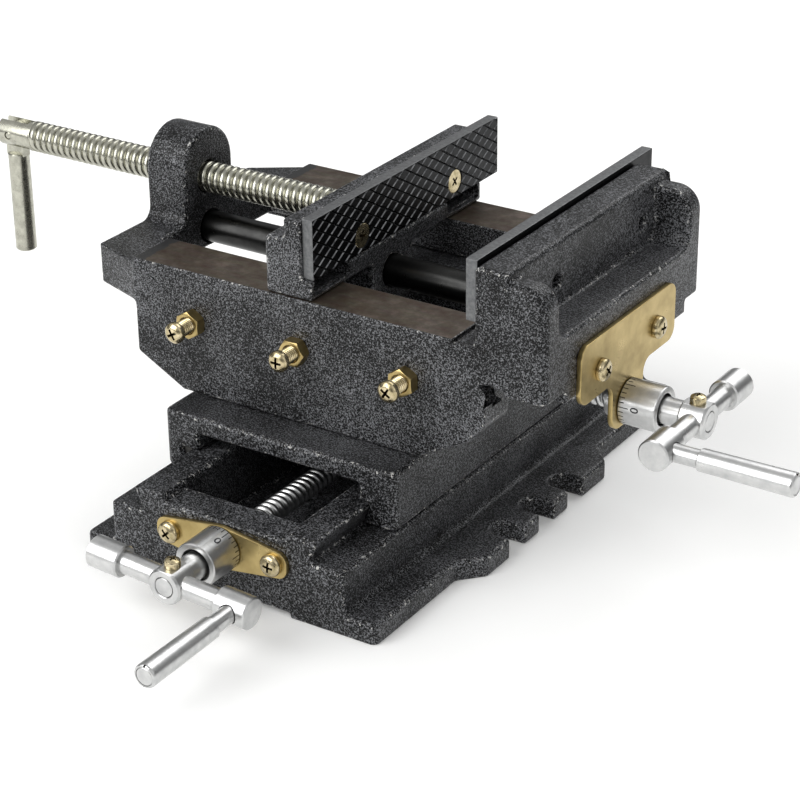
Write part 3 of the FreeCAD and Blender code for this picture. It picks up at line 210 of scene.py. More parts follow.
@dataclass(frozen=True)
class HammertonePaint(Finish):
    """Sprayed hammertone enamel on rough cast iron.

    Silicone in the enamel pulls it into small pools, so dark pools lie between raised
    silver-grey veins, glossy all over. On the rounded edges lighter veins and bright specks
    are painted in: partly chipped paint with bare iron, partly painted edge highlights.
    """

    name: str = "hammertone_enamel"
    pool: str = "#020202"
    vein: str = "#77787b"
    # Tone of the bright edge specks: bare iron where paint is chipped, and painted edge highlight.
    iron: str = "#b9b8b4"
    grain_mm: float = 0.58
    slow_mm: float = 26.0
    slow_share: float = 0.16
    speck_and_glint_mm: float = 1.6
    speck_and_glint_level: float = 0.66
    relief_mm: float = 0.1
    matt: float = 0.36
    shiny: float = 0.24
    sheen: float = 0.2
    speck_and_glint_share: float = 0.0

    def dress(self, tree: bpy.types.NodeTree, shader: bpy.types.Node,
              place: bpy.types.NodeSocket) -> None:
        """Veins from a noise that is one pool wide, a slow change of tone, and bright edge specks,
        partly chipped paint and partly painted highlights.

        Args:
            tree: The material's node tree.
            shader: Its Principled shader.
            place: Object coordinates, in metres.
        """
        grain = add_node(tree, "ShaderNodeTexNoise", {
            "Vector": place, "Scale": 1 / (self.grain_mm * MM), "Detail": 3.0,
            "Roughness": 0.65, "Distortion": 0.6})
        slow = add_node(tree, "ShaderNodeTexNoise", {
            "Vector": place, "Scale": 1 / (self.slow_mm * MM), "Detail": 2.0})
        shift = add_node(tree, "ShaderNodeMath", {
            0: slow.outputs["Fac"], 1: self.slow_share, 2: -self.slow_share / 2},
            operation="MULTIPLY_ADD")
        moved = add_node(tree, "ShaderNodeMath", {
            0: grain.outputs["Fac"], 1: shift.outputs[0]}, operation="ADD")
        veins = add_node(tree, "ShaderNodeValToRGB", {"Fac": moved.outputs[0]})
        set_ramp(veins, [(0.5, self.pool), (0.61, self.vein)])
        colour = veins.outputs["Color"]
        # Bright edge specks: chipped paint with bare iron, and painted highlight along the edges.
        if self.speck_and_glint_share:
            speck_and_glint_noise = add_node(tree, "ShaderNodeTexNoise", {
                "Vector": place, "Scale": 1 / (self.speck_and_glint_mm * MM), "Detail": 3.0,
                "Roughness": 0.7})
            start = self.speck_and_glint_level - self.speck_and_glint_share
            bare = add_node(tree, "ShaderNodeMapRange", {
                "Value": speck_and_glint_noise.outputs["Fac"], "From Min": start, "From Max": start + 0.03})
            mixed = add_node(tree, "ShaderNodeMix", {
                "Factor": bare.outputs["Result"], 6: colour, 7: linear(self.iron)},
                data_type="RGBA")
            colour = mixed.outputs[2]
        gloss = add_node(tree, "ShaderNodeMapRange", {
            "Value": grain.outputs["Fac"], "From Min": 0.4, "From Max": 0.7,
            "To Min": self.matt, "To Max": self.shiny})
        bump = add_node(tree, "ShaderNodeBump", {
            "Height": grain.outputs["Fac"], "Strength": 0.9,
            "Distance": self.relief_mm * MM})
        tree.links.new(colour, shader.inputs["Base Color"])
        tree.links.new(gloss.outputs["Result"], shader.inputs["Roughness"])
        tree.links.new(bump.outputs["Normal"], shader.inputs["Normal"])
        shader.inputs["Specular IOR Level"].default_value = self.sheen


@dataclass(frozen=True)
class MachinedIron(Finish):
    """Milled grey iron, bare and oily, with rust-brown and olive stains.

    The cutter leaves fine lines along the rails, old oil dries to brown patches, and the
    paint ends in a ragged edge where the mask lay.
    """

    name: str = "milled_cast_iron"
    bright: str = "#75695f"
    stain: str = "#3f2f27"
    olive: str = "#544b41"
    paint: str = "#161617"
    patch_mm: float = 12.0
    line_mm: float = 0.5
    line_share: float = 0.35
    ragged_mm: float = 4.0
    ragged_reach_mm: float = 5.0
    paint_end_mm: float = -65.7
    paint_fade_mm: float = 0.5
    metallic: float = 0.7

    def dress(self, tree: bpy.types.NodeTree, shader: bpy.types.Node,
              place: bpy.types.NodeSocket) -> None:
        """Stains from slow noise over fine milling lines, painted left of the mask.

        Args:
            tree: The material's node tree.
            shader: Its Principled shader.
            place: Object coordinates, in metres.
        """
        patches = add_node(tree, "ShaderNodeTexNoise", {
            "Vector": place, "Scale": 1 / (self.patch_mm * MM), "Detail": 6.0,
            "Roughness": 0.68})
        colours = add_node(tree, "ShaderNodeValToRGB", {"Fac": patches.outputs["Fac"]})
        set_ramp(colours, [(0.34, self.stain), (0.52, self.olive), (0.68, self.bright)])
        stretched = add_node(tree, "ShaderNodeMapping", {
            "Vector": place, "Scale": (0.06, 1.0, 1.0)})
        lines = add_node(tree, "ShaderNodeTexNoise", {
            "Vector": stretched.outputs["Vector"], "Scale": 1 / (self.line_mm * MM),
            "Detail": 2.0})
        tone = add_node(tree, "ShaderNodeMix", {
            "Factor": self.line_share, 6: colours.outputs["Color"],
            7: lines.outputs["Color"]}, data_type="RGBA", blend_type="SOFT_LIGHT")
        along = add_node(tree, "ShaderNodeSeparateXYZ", {"Vector": place}).outputs["X"]
        ragged = add_node(tree, "ShaderNodeTexNoise", {
            "Vector": place, "Scale": 1 / (self.ragged_mm * MM), "Detail": 3.0})
        edge = add_node(tree, "ShaderNodeMath", {
            0: ragged.outputs["Fac"], 1: self.ragged_reach_mm * MM, 2: along},
            operation="MULTIPLY_ADD")
        bare = add_node(tree, "ShaderNodeMapRange", {
            "Value": edge.outputs[0], "From Min": self.paint_end_mm * MM,
            "From Max": (self.paint_end_mm + self.paint_fade_mm) * MM})
        mixed = add_node(tree, "ShaderNodeMix", {
            "Factor": bare.outputs["Result"], 6: linear(self.paint),
            7: tone.outputs[2]}, data_type="RGBA")
        metal = add_node(tree, "ShaderNodeMath", {
            0: bare.outputs["Result"], 1: self.metallic}, operation="MULTIPLY")
        bump = add_node(tree, "ShaderNodeBump", {
            "Height": lines.outputs["Fac"], "Strength": 0.25, "Distance": 0.03 * MM})
        rough = add_node(tree, "ShaderNodeMapRange", {
            "Value": patches.outputs["Fac"], "From Min": 0.3, "From Max": 0.7,
            "To Min": 0.5, "To Max": 0.34})
        tree.links.new(mixed.outputs[2], shader.inputs["Base Color"])
        tree.links.new(rough.outputs["Result"], shader.inputs["Roughness"])
        tree.links.new(metal.outputs[0], shader.inputs["Metallic"])
        tree.links.new(bump.outputs["Normal"], shader.inputs["Normal"])


@dataclass(frozen=True)
class Metal(Finish):
    """A metal with slow clouding, fine scratches and its own colour.

    Plating, blacking and grinding leave a nearly even tone that clouds a little, under fine
    scratches that soften the reflections.
    """

    tone: str
    cloud: str
    rough: float
    cloud_mm: float
    scratch_mm: float = 0.35
    metallic: float = 1.0

    def dress(self, tree: bpy.types.NodeTree, shader: bpy.types.Node,
              place: bpy.types.NodeSocket) -> None:
        """Clouds in the colour and the gloss, and a fine bump.

        Args:
            tree: The material's node tree.
            shader: Its Principled shader.
            place: Object coordinates, in metres.
        """
        clouds = add_node(tree, "ShaderNodeTexNoise", {
            "Vector": place, "Scale": 1 / (self.cloud_mm * MM), "Detail": 3.0,
            "Roughness": 0.6})
        colours = add_node(tree, "ShaderNodeValToRGB", {"Fac": clouds.outputs["Fac"]})
        set_ramp(colours, [(0.25, self.cloud), (0.7, self.tone)])
        scratches = add_node(tree, "ShaderNodeTexNoise", {
            "Vector": place, "Scale": 1 / (self.scratch_mm * MM), "Detail": 2.0})
        gloss = add_node(tree, "ShaderNodeMapRange", {
            "Value": clouds.outputs["Fac"], "From Min": 0.3, "From Max": 0.7,
            "To Min": self.rough * 1.15, "To Max": self.rough * 0.88})
        bump = add_node(tree, "ShaderNodeBump", {
            "Height": scratches.outputs["Fac"], "Strength": 0.15,
            "Distance": 0.04 * MM})
        tree.links.new(colours.outputs["Color"], shader.inputs["Base Color"])
        tree.links.new(gloss.outputs["Result"], shader.inputs["Roughness"])
        tree.links.new(bump.outputs["Normal"], shader.inputs["Normal"])
        shader.inputs["Metallic"].default_value = self.metallic


@dataclass(frozen=True)
class PaleFloor(Finish):
    """Matt white paper on a dim light table, even and without sheen."""

    name: str = "white_paper"
    tone: str = "#f6f6f5"
    rough: float = 0.9
    glow: float = 0.14

    def dress(self, tree: bpy.types.NodeTree, shader: bpy.types.Node,
              place: bpy.types.NodeSocket) -> None:
        """An even matt tone.

        Args:
            tree: The material's node tree; not used.
            shader: Its Principled shader.
            place: Object coordinates, in metres; not used.
        """
        shader.inputs["Base Color"].default_value = linear(self.tone)
        shader.inputs["Roughness"].default_value = self.rough
        shader.inputs["Emission Color"].default_value = linear(self.tone)
        shader.inputs["Emission Strength"].default_value = self.glow


PAINT = HammertonePaint()
# Finish of the rounded edge strips: lighter veins and bright specks, painted edge highlights as
# well as chipped paint.
EDGE_SPECKS_AND_GLINTS = HammertonePaint("hammertone_edge_specks_and_glints", vein="#7c7d80", speck_and_glint_share=0.055)
MILLED = MachinedIron()
BRIGHT = Metal("satin_zinc_plate", "#d2d2d1", "#b7b8b8", 0.31, 4.5)
WARM_ZINC = Metal("clear_zinc_plate", "#bdbcaf", "#98978c", 0.26, 3.0)
YELLOW_ZINC = Metal("yellow_passivated_zinc", "#c3ae79", "#a28e5d", 0.3, 9.0)
GOLD_SCREW = Metal("yellow_zinc_screws", "#dccdaa", "#978a63", 0.24, 2.2)
# Painted shade: dark brown for the inside of cross recesses and of the grip sleeve's nicks.
PAINTED_SHADE = Metal("painted_shade_in_recess", "#3a2d18", "#20180c", 0.5, 2.0)
BLACK_OXIDE = Metal("black_oxide_steel", "#3b3b3a", "#2a2a2a", 0.3, 7.0)
BLACKENED = Metal("blackened_jaw_steel", "#1d1e20", "#131415", 0.36, 3.0)
GROUND = Metal("ground_jaw_steel_edge", "#7b7c7d", "#646566", 0.5, 1.2)
# Painted glint: bright metal on the walls of one groove family only, broken into dashes by its
# dark clouds; the other family keeps the blackened finish.
GLINT_WALL = Metal("painted_glint_wall", "#a0a1a3", "#2f3033", 0.3, 2.6)
ENGRAVED = Metal("blackened_engraving", "#26272a", "#1c1d1f", 0.6, 3.0, metallic=0.0)
IRON = Metal("plain_cast_iron", "#5b5a58", "#434240", 0.5, 5.0)


def put(name: str, mesh: bpy.types.Mesh) -> bpy.types.Object:
    """Link a mesh into the scene as an object at the origin."""
    item = bpy.data.objects.new(name, mesh)
    bpy.context.scene.collection.objects.link(item)
    return item


def harvest(item: bpy.types.Object) -> bpy.types.Mesh:
    """Turn an object with its modifiers into a plain mesh, and drop the object.

    Args:
        item: The object.

    Returns:
        Its evaluated mesh.
    """
    graph = bpy.context.evaluated_depsgraph_get()
    made = bpy.data.meshes.new_from_object(item.evaluated_get(graph))
    bpy.data.objects.remove(item)
    return made


@contextmanager
def editing(mesh: bpy.types.Mesh) -> Iterator[bmesh.types.BMesh]:
    """Open a mesh for editing, and write it back afterwards.

    Args:
        mesh: The mesh.

    Yields:
        Its editable form.
    """
    form = bmesh.new()
    form.from_mesh(mesh)
    yield form
    form.to_mesh(mesh)
    form.free()


def rectangle(left: float, low: float, right: float, high: float) -> Outline:
    """Corners of an upright rectangle, going round from its lower left."""
    return [(left, low), (right, low), (right, high), (left, high)]


class Shape:
    """Closed shells in millimetres, about their own Z axis."""

    def __init__(self, mesh: bpy.types.Mesh | None = None) -> None:
        """Start empty, or from a mesh."""
        self.form = bmesh.new()
        if mesh:
            self.form.from_mesh(mesh)

    def turned(self, profile: Outline, sides: int = 56, ring: bool = False,
               place: Matrix | None = None) -> "Shape":
        """Add a turned shell.

        Args:
            profile: Places along the axis with their radii.
            sides: Facets round the axis.
            ring: Whether the profile closes on itself, as a tube's does.
            place: Where the shell's own axis lies.

        Returns:
            The shape itself.
        """
        place = place or Matrix()
        rings = []
        for along, radius in profile:
            count = sides if radius > 1e-6 else 1
            rings.append([self.form.verts.new(place @ Vector((
                radius * math.cos(2 * math.pi * k / sides),
                radius * math.sin(2 * math.pi * k / sides), along))) for k in range(count)])
        pairs = list(zip(rings, rings[1:]))
        if ring:
            pairs.append((rings[-1], rings[0]))
        for low, high in pairs:
            for k in range(sides):
                after = (k + 1) % sides
                corners = [low[k % len(low)], low[after % len(low)],
                           high[after % len(high)], high[k % len(high)]]
                kept = list(dict.fromkeys(corners))
                if len(kept) > 2:
                    self.form.faces.new(kept)
        return self

    def rod(self, low: float, high: float, radius: float, sides: int,
            place: Matrix | None = None) -> "Shape":
        """Add a plain round rod.

        Args:
            low: Its lower end on Z.
            high: Its upper end on Z.
            radius: Its radius.
            sides: Facets round it.
            place: Where its own axis lies.

        Returns:
            The shape itself.
        """
        profile = [(low, 0.0), (low, radius), (high, radius), (high, 0.0)]
        return self.turned(profile, sides, place=place)

    def prism(self, outline: Outline, low: float, high: float,
              place: Matrix | None = None, taper: float = 1.0) -> "Shape":
        """Add a straight or tapered prism.

        Args:
            outline: Corners in X and Y, going round.
            low: Its lower end on Z.
            high: Its upper end on Z.
            place: Where the prism's own axes lie.
            taper: Scale of its lower end.

        Returns:
            The shape itself.
        """
        place = place or Matrix()
        foot = [self.form.verts.new(place @ Vector((x * taper, y * taper, low)))
                for x, y in outline]
        head = [self.form.verts.new(place @ Vector((x, y, high))) for x, y in outline]
        self.form.faces.new(foot[::-1])
        self.form.faces.new(head)
        for k in range(len(outline)):
            after = (k + 1) % len(outline)
            self.form.faces.new([foot[k], foot[after], head[after], head[k]])
        return self

    def add(self, mesh: bpy.types.Mesh) -> "Shape":
        """Add the shells of another mesh."""
        self.form.from_mesh(mesh)
        return self

    def numbered(self, number: int) -> "Shape":
        """Give every face so far one finish number."""
        for face in self.form.faces:
            face.material_index = number
        return self

    def plain(self) -> bpy.types.Mesh:
        """Make the mesh as it is, in millimetres."""
        made = bpy.data.meshes.new("shape")
        self.form.to_mesh(made)
        self.form.free()
        return made

    def mesh(self) -> bpy.types.Mesh:
        """Close holes, turn the faces outwards and make the mesh, in millimetres."""
        bmesh.ops.holes_fill(self.form, edges=self.form.edges, sides=0)
        bmesh.ops.recalc_face_normals(self.form, faces=self.form.faces)
        return self.plain()


def combine(body: bpy.types.Mesh, tool: bpy.types.Mesh, way: Cut = Cut.AWAY) -> bpy.types.Mesh:
    """Cut one closed mesh with another, or join them.

    Args:
        body: The mesh that is kept.
        tool: The mesh that works on it.
        way: What it does.

    Returns:
        The new mesh.
    """
    base = put("base", body)
    other = put("tool", tool)
    work = base.modifiers.new("cut", "BOOLEAN")
    work.operation = way.value
    work.object = other
    work.solver = "EXACT"
    made = harvest(base)
    bpy.data.objects.remove(other)
    return made


def soften(mesh: bpy.types.Mesh, width: float, segments: int = 2,
           angle: float = 32.0) -> bpy.types.Mesh:
    """Round a mesh's edges a little.

    Args:
        mesh: The mesh.
        width: Width of the rounding, in the mesh's own units.
        segments: Steps across it.
        angle: Edges turning by more than this, in degrees, are rounded.

    Returns:
        The new mesh.
    """
    item = put("sharp", mesh)
    bevel = item.modifiers.new("edges", "BEVEL")
    bevel.width = width
    bevel.segments = segments
    bevel.limit_method = "ANGLE"
    bevel.angle_limit = math.radians(angle)
    bevel.miter_outer = "MITER_ARC"
    bevel.use_clamp_overlap = True
    return harvest(item)


def settle(mesh: bpy.types.Mesh, place: Matrix | None = None,
           tests: Sequence[FaceTest] = (), sharp: float = SHARP) -> bpy.types.Mesh:
    """Give faces their finish numbers, shade them smooth and place the mesh.

    Args:
        mesh: The mesh.
        place: Its matrix into the frame.
        tests: The first test that a face's middle and normal pass gives it that number,
            from one up.
        sharp: Edges that turn by more than this stay crisp.

    Returns:
        The same mesh.
    """
    with editing(mesh) as form:
        form.normal_update()
        for face in form.faces:
            face.smooth = True
            middle = face.calc_center_median()
            for number, test in enumerate(tests, 1):
                if test(middle, face.normal):
                    face.material_index = number
                    break
        for edge in form.edges:
            edge.smooth = edge.calc_face_angle(0.0) < sharp
    if place:
        mesh.transform(place)
    return mesh


@dataclass
class Dresser:
    """Turns meshes into pieces that ride on the right body."""

    frame: dict

    def body_of(self, node: str) -> str:
        """The body that a solid of the model rides on."""
        groups = self.frame["record"]["behaviour"]["bodies"]
        return next(body for body, members in groups.items() if node in members)

    def stand_for(self, node: str, mesh: bpy.types.Mesh, *finishes: Finish) -> None:
        """Let a new mesh stand for one solid.

        Args:
            node: The solid that it stands for.
            mesh: The mesh, in its place in the frame.
            finishes: Its finishes, in the order of its material numbers.
        """
        numbers = [face.material_index for face in mesh.polygons]
        mesh.materials.clear()
        for finish in finishes:
            mesh.materials.append(finish.build())
        mesh.polygons.foreach_set("material_index", [min(n, len(finishes) - 1) for n in numbers])
        rough = put("rough", mesh)
        rough.modifiers.new("level_faces", "WEIGHTED_NORMAL").keep_sharp = True
        mesh = harvest(rough)
        mesh.name = f"{node}_look"
        item = put(f"{node}_look", mesh)
        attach(item, self.body_of(node))
        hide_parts(node)
        log.info("%s stands for its solid with %d faces", item.name, len(mesh.polygons))

    def keep(self, node: str, finish: Finish) -> None:
        """Show a solid as it is, in its finish."""
        mesh = self.frame["nodes"][node].data
        mesh.materials.clear()
        mesh.materials.append(finish.build())
        log.info("%s kept as its solid", node)

    def merged(self, node: str) -> bpy.types.Mesh:
        """A copy of a solid's mesh with its triangles joined into whole faces.

        Args:
            node: The solid.

        Returns:
            The copy, in metres.
        """
        form = bmesh.new()
        form.from_mesh(self.frame["nodes"][node].data)
        bmesh.ops.remove_doubles(form, verts=form.verts, dist=WELD)
        bmesh.ops.dissolve_limit(form, angle_limit=FLAT, verts=form.verts, edges=form.edges)
        for face in form.faces:
            face.material_index = 0
        mesh = bpy.data.meshes.new(f"{node}_merged")
        form.to_mesh(mesh)
        form.free()
        return mesh


class GeometryTree:
    """A Geometry Nodes tree with named inputs, made once and used by many pieces."""

    name = "tree"
    inputs: dict[str, tuple[str, object]] = {}

    def __init__(self) -> None:
        """Build the tree."""
        self.tree = bpy.data.node_groups.new(self.name, "GeometryNodeTree")
        face = self.tree.interface
        face.new_socket("Geometry", in_out="INPUT", socket_type="NodeSocketGeometry")
        face.new_socket("Geometry", in_out="OUTPUT", socket_type="NodeSocketGeometry")
        self.ids: dict[str, str] = {}
        for label, (kind, value) in self.inputs.items():
            socket = face.new_socket(label, in_out="INPUT", socket_type=kind)
            if value is not None:
                socket.default_value = value
            self.ids[label] = socket.identifier
        self.given = add_node(self.tree, "NodeGroupInput")
        made = self.grow()
        solid = add_node(self.tree, "GeometryNodeRealizeInstances", {"Geometry": made})
        last = add_node(self.tree, "GeometryNodeSetMaterial", {
            "Geometry": solid.outputs["Geometry"], "Material": self.value("Finish")})
        add_node(self.tree, "NodeGroupOutput", {"Geometry": last.outputs["Geometry"]})

    def value(self, label: str) -> bpy.types.NodeSocket:
        """The socket that gives one of the tree's inputs."""
        return self.given.outputs[label]

    def math(self, operation: str, first: object, second: object = 0.0,
             third: object = 0.0) -> bpy.types.NodeSocket:
        """Work out one number from up to three others."""
        step = add_node(self.tree, "ShaderNodeMath", {0: first, 1: second, 2: third},
                        operation=operation)
        return step.outputs[0]

    def grow(self) -> bpy.types.NodeSocket:
        """Make the geometry.

        Returns:
            The socket that carries it.
        """
        raise NotImplementedError

    def run(self, finish: Finish, mesh: bpy.types.Mesh | None = None,
            **values: object) -> bpy.types.Mesh:
        """Use the tree once.

        Args:
            finish: The finish of what it makes.
            mesh: The mesh that it works on, if it needs one.
            values: The named inputs, with underscores for spaces.

        Returns:
            A plain mesh.
        """
        item = put(self.name, mesh or bpy.data.meshes.new(self.name))
        work = item.modifiers.new(self.name, "NODES")
        work.node_group = self.tree
        work[self.ids["Finish"]] = finish.build()
        for label, value in values.items():
            work[self.ids[label.replace("_", " ")]] = value
        made = harvest(item)
        made.polygons.foreach_set("material_index", [0] * len(made.polygons))
        return made


class ThreadTree(GeometryTree):
    """A right-hand thread with rounded crests and narrow roots, fading out at its ends."""

    name = "screw_thread"
    inputs = {
        "Length": ("NodeSocketFloat", 50.0),
        "Radius": ("NodeSocketFloat", 6.0),
        "Pitch": ("NodeSocketFloat", 3.0),
        "Depth": ("NodeSocketFloat", 1.0),
        "Crest": ("NodeSocketFloat", 1.3),
        "Turns": ("NodeSocketInt", 20),
        "Steps": ("NodeSocketInt", 201),
        "Sides": ("NodeSocketInt", 41),
        "Finish": ("NodeSocketMaterial", None),
    }

    def grow(self) -> bpy.types.NodeSocket:
        """Roll a sheared grid up into a tube and press the groove into it.

        The shear lays the grid's lines along the helix, and whatever passes the ends is
        pulled back to them.

        Returns:
            The socket that carries the thread.
        """
        tree = self.tree
        whole = self.math("MULTIPLY", self.value("Turns"), self.value("Pitch"))
        sheet = add_node(tree, "GeometryNodeMeshGrid", {
            "Size X": whole, "Size Y": 1.0,
            "Vertices X": self.value("Steps"), "Vertices Y": self.value("Sides")})
        split = add_node(tree, "ShaderNodeSeparateXYZ", {
            "Vector": add_node(tree, "GeometryNodeInputPosition").outputs[0]})
        half = self.math("MULTIPLY", self.value("Length"), 0.5)
        middle = self.math("ADD", split.outputs["X"], half)
        helix = self.math("MULTIPLY_ADD", split.outputs["Y"], self.value("Pitch"), middle)
        along = self.math("MAXIMUM", self.math("MINIMUM", helix, self.value("Length")), 0.0)
        turns = self.math("DIVIDE", split.outputs["X"], self.value("Pitch"))
        phase = self.math("FRACT", self.math("ADD", turns, 1000.0))
        wave = self.math("SINE", self.math("MULTIPLY", phase, math.pi))
        root = self.math("POWER", self.math("SUBTRACT", 1.0, wave), self.value("Crest"))
        left = self.math("SUBTRACT", self.value("Length"), along)
        near_end = self.math("MINIMUM", along, left)
        fade = self.math("MINIMUM", self.math("DIVIDE", near_end, self.value("Pitch")), 1.0)
        dip = self.math("MULTIPLY", self.math("MULTIPLY", root, fade), self.value("Depth"))
        radius = self.math("SUBTRACT", self.value("Radius"), dip)
        angle = self.math("MULTIPLY", split.outputs["Y"], 2 * math.pi)
        rolled = add_node(tree, "ShaderNodeCombineXYZ", {
            "X": self.math("MULTIPLY", radius, self.math("COSINE", angle)),
            "Y": self.math("MULTIPLY", radius, self.math("SINE", angle)),
            "Z": along})
        tube = add_node(tree, "GeometryNodeSetPosition", {
            "Geometry": sheet.outputs["Mesh"], "Position": rolled.outputs[0]})
        closed = add_node(tree, "GeometryNodeMergeByDistance", {
            "Geometry": tube.outputs["Geometry"], "Distance": 0.0005})
        outward = add_node(tree, "GeometryNodeFlipFaces", {"Mesh": closed.outputs["Geometry"]})
        return outward.outputs["Mesh"]


class RowTree(GeometryTree):
    """One fastener set on every point, each turned at random about its own axis."""

    name = "fastener_row"
    inputs = {
        "Fastener": ("NodeSocketObject", None),
        "Spin": ("NodeSocketFloat", math.pi),
        "Seed": ("NodeSocketInt", 3),
        "Finish": ("NodeSocketMaterial", None),
    }

    def grow(self) -> bpy.types.NodeSocket:
        """Set the fasteners on the points.

        Returns:
            The socket that carries them.
        """
        tree = self.tree
        one = add_node(tree, "GeometryNodeObjectInfo", {"Object": self.value("Fastener")})
        chance = add_node(tree, "FunctionNodeRandomValue", {
            "Min": 0.0, "Max": self.value("Spin"), "Seed": self.value("Seed")},
            data_type="FLOAT")
        spin = add_node(tree, "ShaderNodeCombineXYZ", {"Z": chance.outputs["Value"]})
        spun = add_node(tree, "FunctionNodeEulerToRotation", {"Euler": spin.outputs[0]})
        row = add_node(tree, "GeometryNodeInstanceOnPoints", {
            "Points": self.value("Geometry"), "Instance": one.outputs["Geometry"],
            "Rotation": spun.outputs[0]})
        return row.outputs["Instances"]


class MarksTree(GeometryTree):
    """Graduation lines round a dial, with a longer one every few."""

    name = "dial_marks"
    inputs = {
        "Count": ("NodeSocketInt", 30),
        "Radius": ("NodeSocketFloat", 8.5),
        "Width": ("NodeSocketFloat", 0.34),
        "Short": ("NodeSocketFloat", 2.0),
        "Long": ("NodeSocketFloat", 3.9),
        "Every": ("NodeSocketInt", 5),
        "Start": ("NodeSocketFloat", 0.3),
        "Finish": ("NodeSocketMaterial", None),
    }

    def grow(self) -> bpy.types.NodeSocket:
        """Set a thin line on every division.

        Returns:
            The socket that carries the lines.
        """
        tree = self.tree
        ring = add_node(tree, "GeometryNodeMeshCircle", {
            "Vertices": self.value("Count"), "Radius": self.value("Radius")})
        number = add_node(tree, "GeometryNodeInputIndex").outputs[0]
        share = self.math("DIVIDE", number, self.value("Count"))
        angle = self.math("MULTIPLY", share, 2 * math.pi)
        rest = self.math("MODULO", number, self.value("Every"))
        is_short = self.math("MINIMUM", rest, 1.0)
        less = self.math("SUBTRACT", self.value("Long"), self.value("Short"))
        length = self.math("SUBTRACT", self.value("Long"), self.math("MULTIPLY", is_short, less))
        block = add_node(tree, "GeometryNodeMeshCube", {"Size": (0.06, 1.0, 1.0)})
        shifted = add_node(tree, "GeometryNodeTransform", {
            "Geometry": block.outputs["Mesh"], "Translation": (0.0, 0.0, 0.5)})
        turn = add_node(tree, "ShaderNodeCombineXYZ", {"Z": angle})
        turned = add_node(tree, "FunctionNodeEulerToRotation", {"Euler": turn.outputs[0]})
        size = add_node(tree, "ShaderNodeCombineXYZ", {
            "X": 1.0, "Y": self.value("Width"), "Z": length})
        lines = add_node(tree, "GeometryNodeInstanceOnPoints", {
            "Points": ring.outputs["Mesh"], "Instance": shifted.outputs["Geometry"],
            "Rotation": turned.outputs[0], "Scale": size.outputs[0]})
        lift = add_node(tree, "ShaderNodeCombineXYZ", {"Z": self.value("Start")})
        moved = add_node(tree, "GeometryNodeTransform", {
            "Geometry": lines.outputs["Instances"], "Translation": lift.outputs[0]})
        return moved.outputs["Geometry"]


class Workshop:
    """The trees and the small pieces that several assemblies share."""

    recess_taper = 0.45

    def __init__(self) -> None:
        """Build the trees once."""
        self.threads = ThreadTree()
        self.rows = RowTree()
        self.marks = MarksTree()

    def thread(self, finish: Finish, length: float, radius: float, pitch: float, depth: float,
               crest: float = 1.3, sides: int = 41, per_turn: int = 10) -> bpy.types.Mesh:
        """A length of thread that starts at the origin and runs up Z.

        Args:
            finish: Its finish.
            length: Its length in millimetres.
            radius: Outside radius.
            pitch: Pitch.
            depth: Depth of the groove.
            crest: Above one for broad crests, higher for narrower roots.
            sides: Points round it.
            per_turn: Points along one turn.

        Returns:
            The thread as an open tube.
        """
        turns = 2 * (int(length / pitch / 2) + 2)
        return self.threads.run(finish, Length=float(length), Radius=float(radius),
                                Pitch=float(pitch), Depth=float(depth), Crest=float(crest),
                                Turns=turns, Steps=turns * per_turn + 1, Sides=sides)

    def recessed(self, mesh: bpy.types.Mesh, level: float, reach: float, width: float,
                 depth: float) -> bpy.types.Mesh:
        """Press a cross recess into a head.

        Args:
            mesh: The head.
            level: Height of its top.
            reach: Half the length of the cross.
            width: Width of its arms.
            depth: Its depth.

        Returns:
            The head with its recess.
        """
        arm = rectangle(-reach, -width / 2, reach, width / 2)
        for turn in (0.0, 90.0):
            spin = Matrix.Rotation(math.radians(turn), 4, "Z")
            tool = Shape().prism(arm, level - depth, level + 1.0, spin, self.recess_taper)
            mesh = combine(mesh, tool.mesh())
        return mesh

    def row(self, prototype: bpy.types.Mesh, places: Sequence[Sequence[float]],
            finish: Finish, spin: float = math.pi, seed: int = 3) -> bpy.types.Mesh:
        """Set copies of a fastener on places in its own millimetres.

        Args:
            prototype: One fastener.
            places: Where each stands.
            finish: The finish.
            spin: Largest turn of each about its axis.
            seed: Seed of those turns.

        Returns:
            All of them in one mesh.
        """
        points = bpy.data.meshes.new("places")
        points.from_pydata([tuple(p) for p in places], [], [])
        model = put("fastener", prototype)
        made = self.rows.run(finish, points, Fastener=model, Spin=float(spin), Seed=seed)
        bpy.data.objects.remove(model)
        return made


def cross_test(reach: float, level: float, slope: float = 0.0,
               centres: Sequence[Sequence[float]] = ((0, 0),)) -> FaceTest:
    """A test for faces inside a cross recess, which take the painted shade finish.

    Args:
        reach: How far the recess reaches from a screw's axis.
        level: Faces below this height are inside it.
        slope: How much lower the head is per millimetre from its axis.
        centres: The screws' axes in X and Y.

    Returns:
        The test.
    """
    def inside(middle: Vector, normal: Vector) -> bool:
        """True for a face in a recess."""
        away = min(math.hypot(middle.x - c[0], middle.y - c[1]) for c in centres)
        return away < reach and middle.z < level - slope * away
    return inside


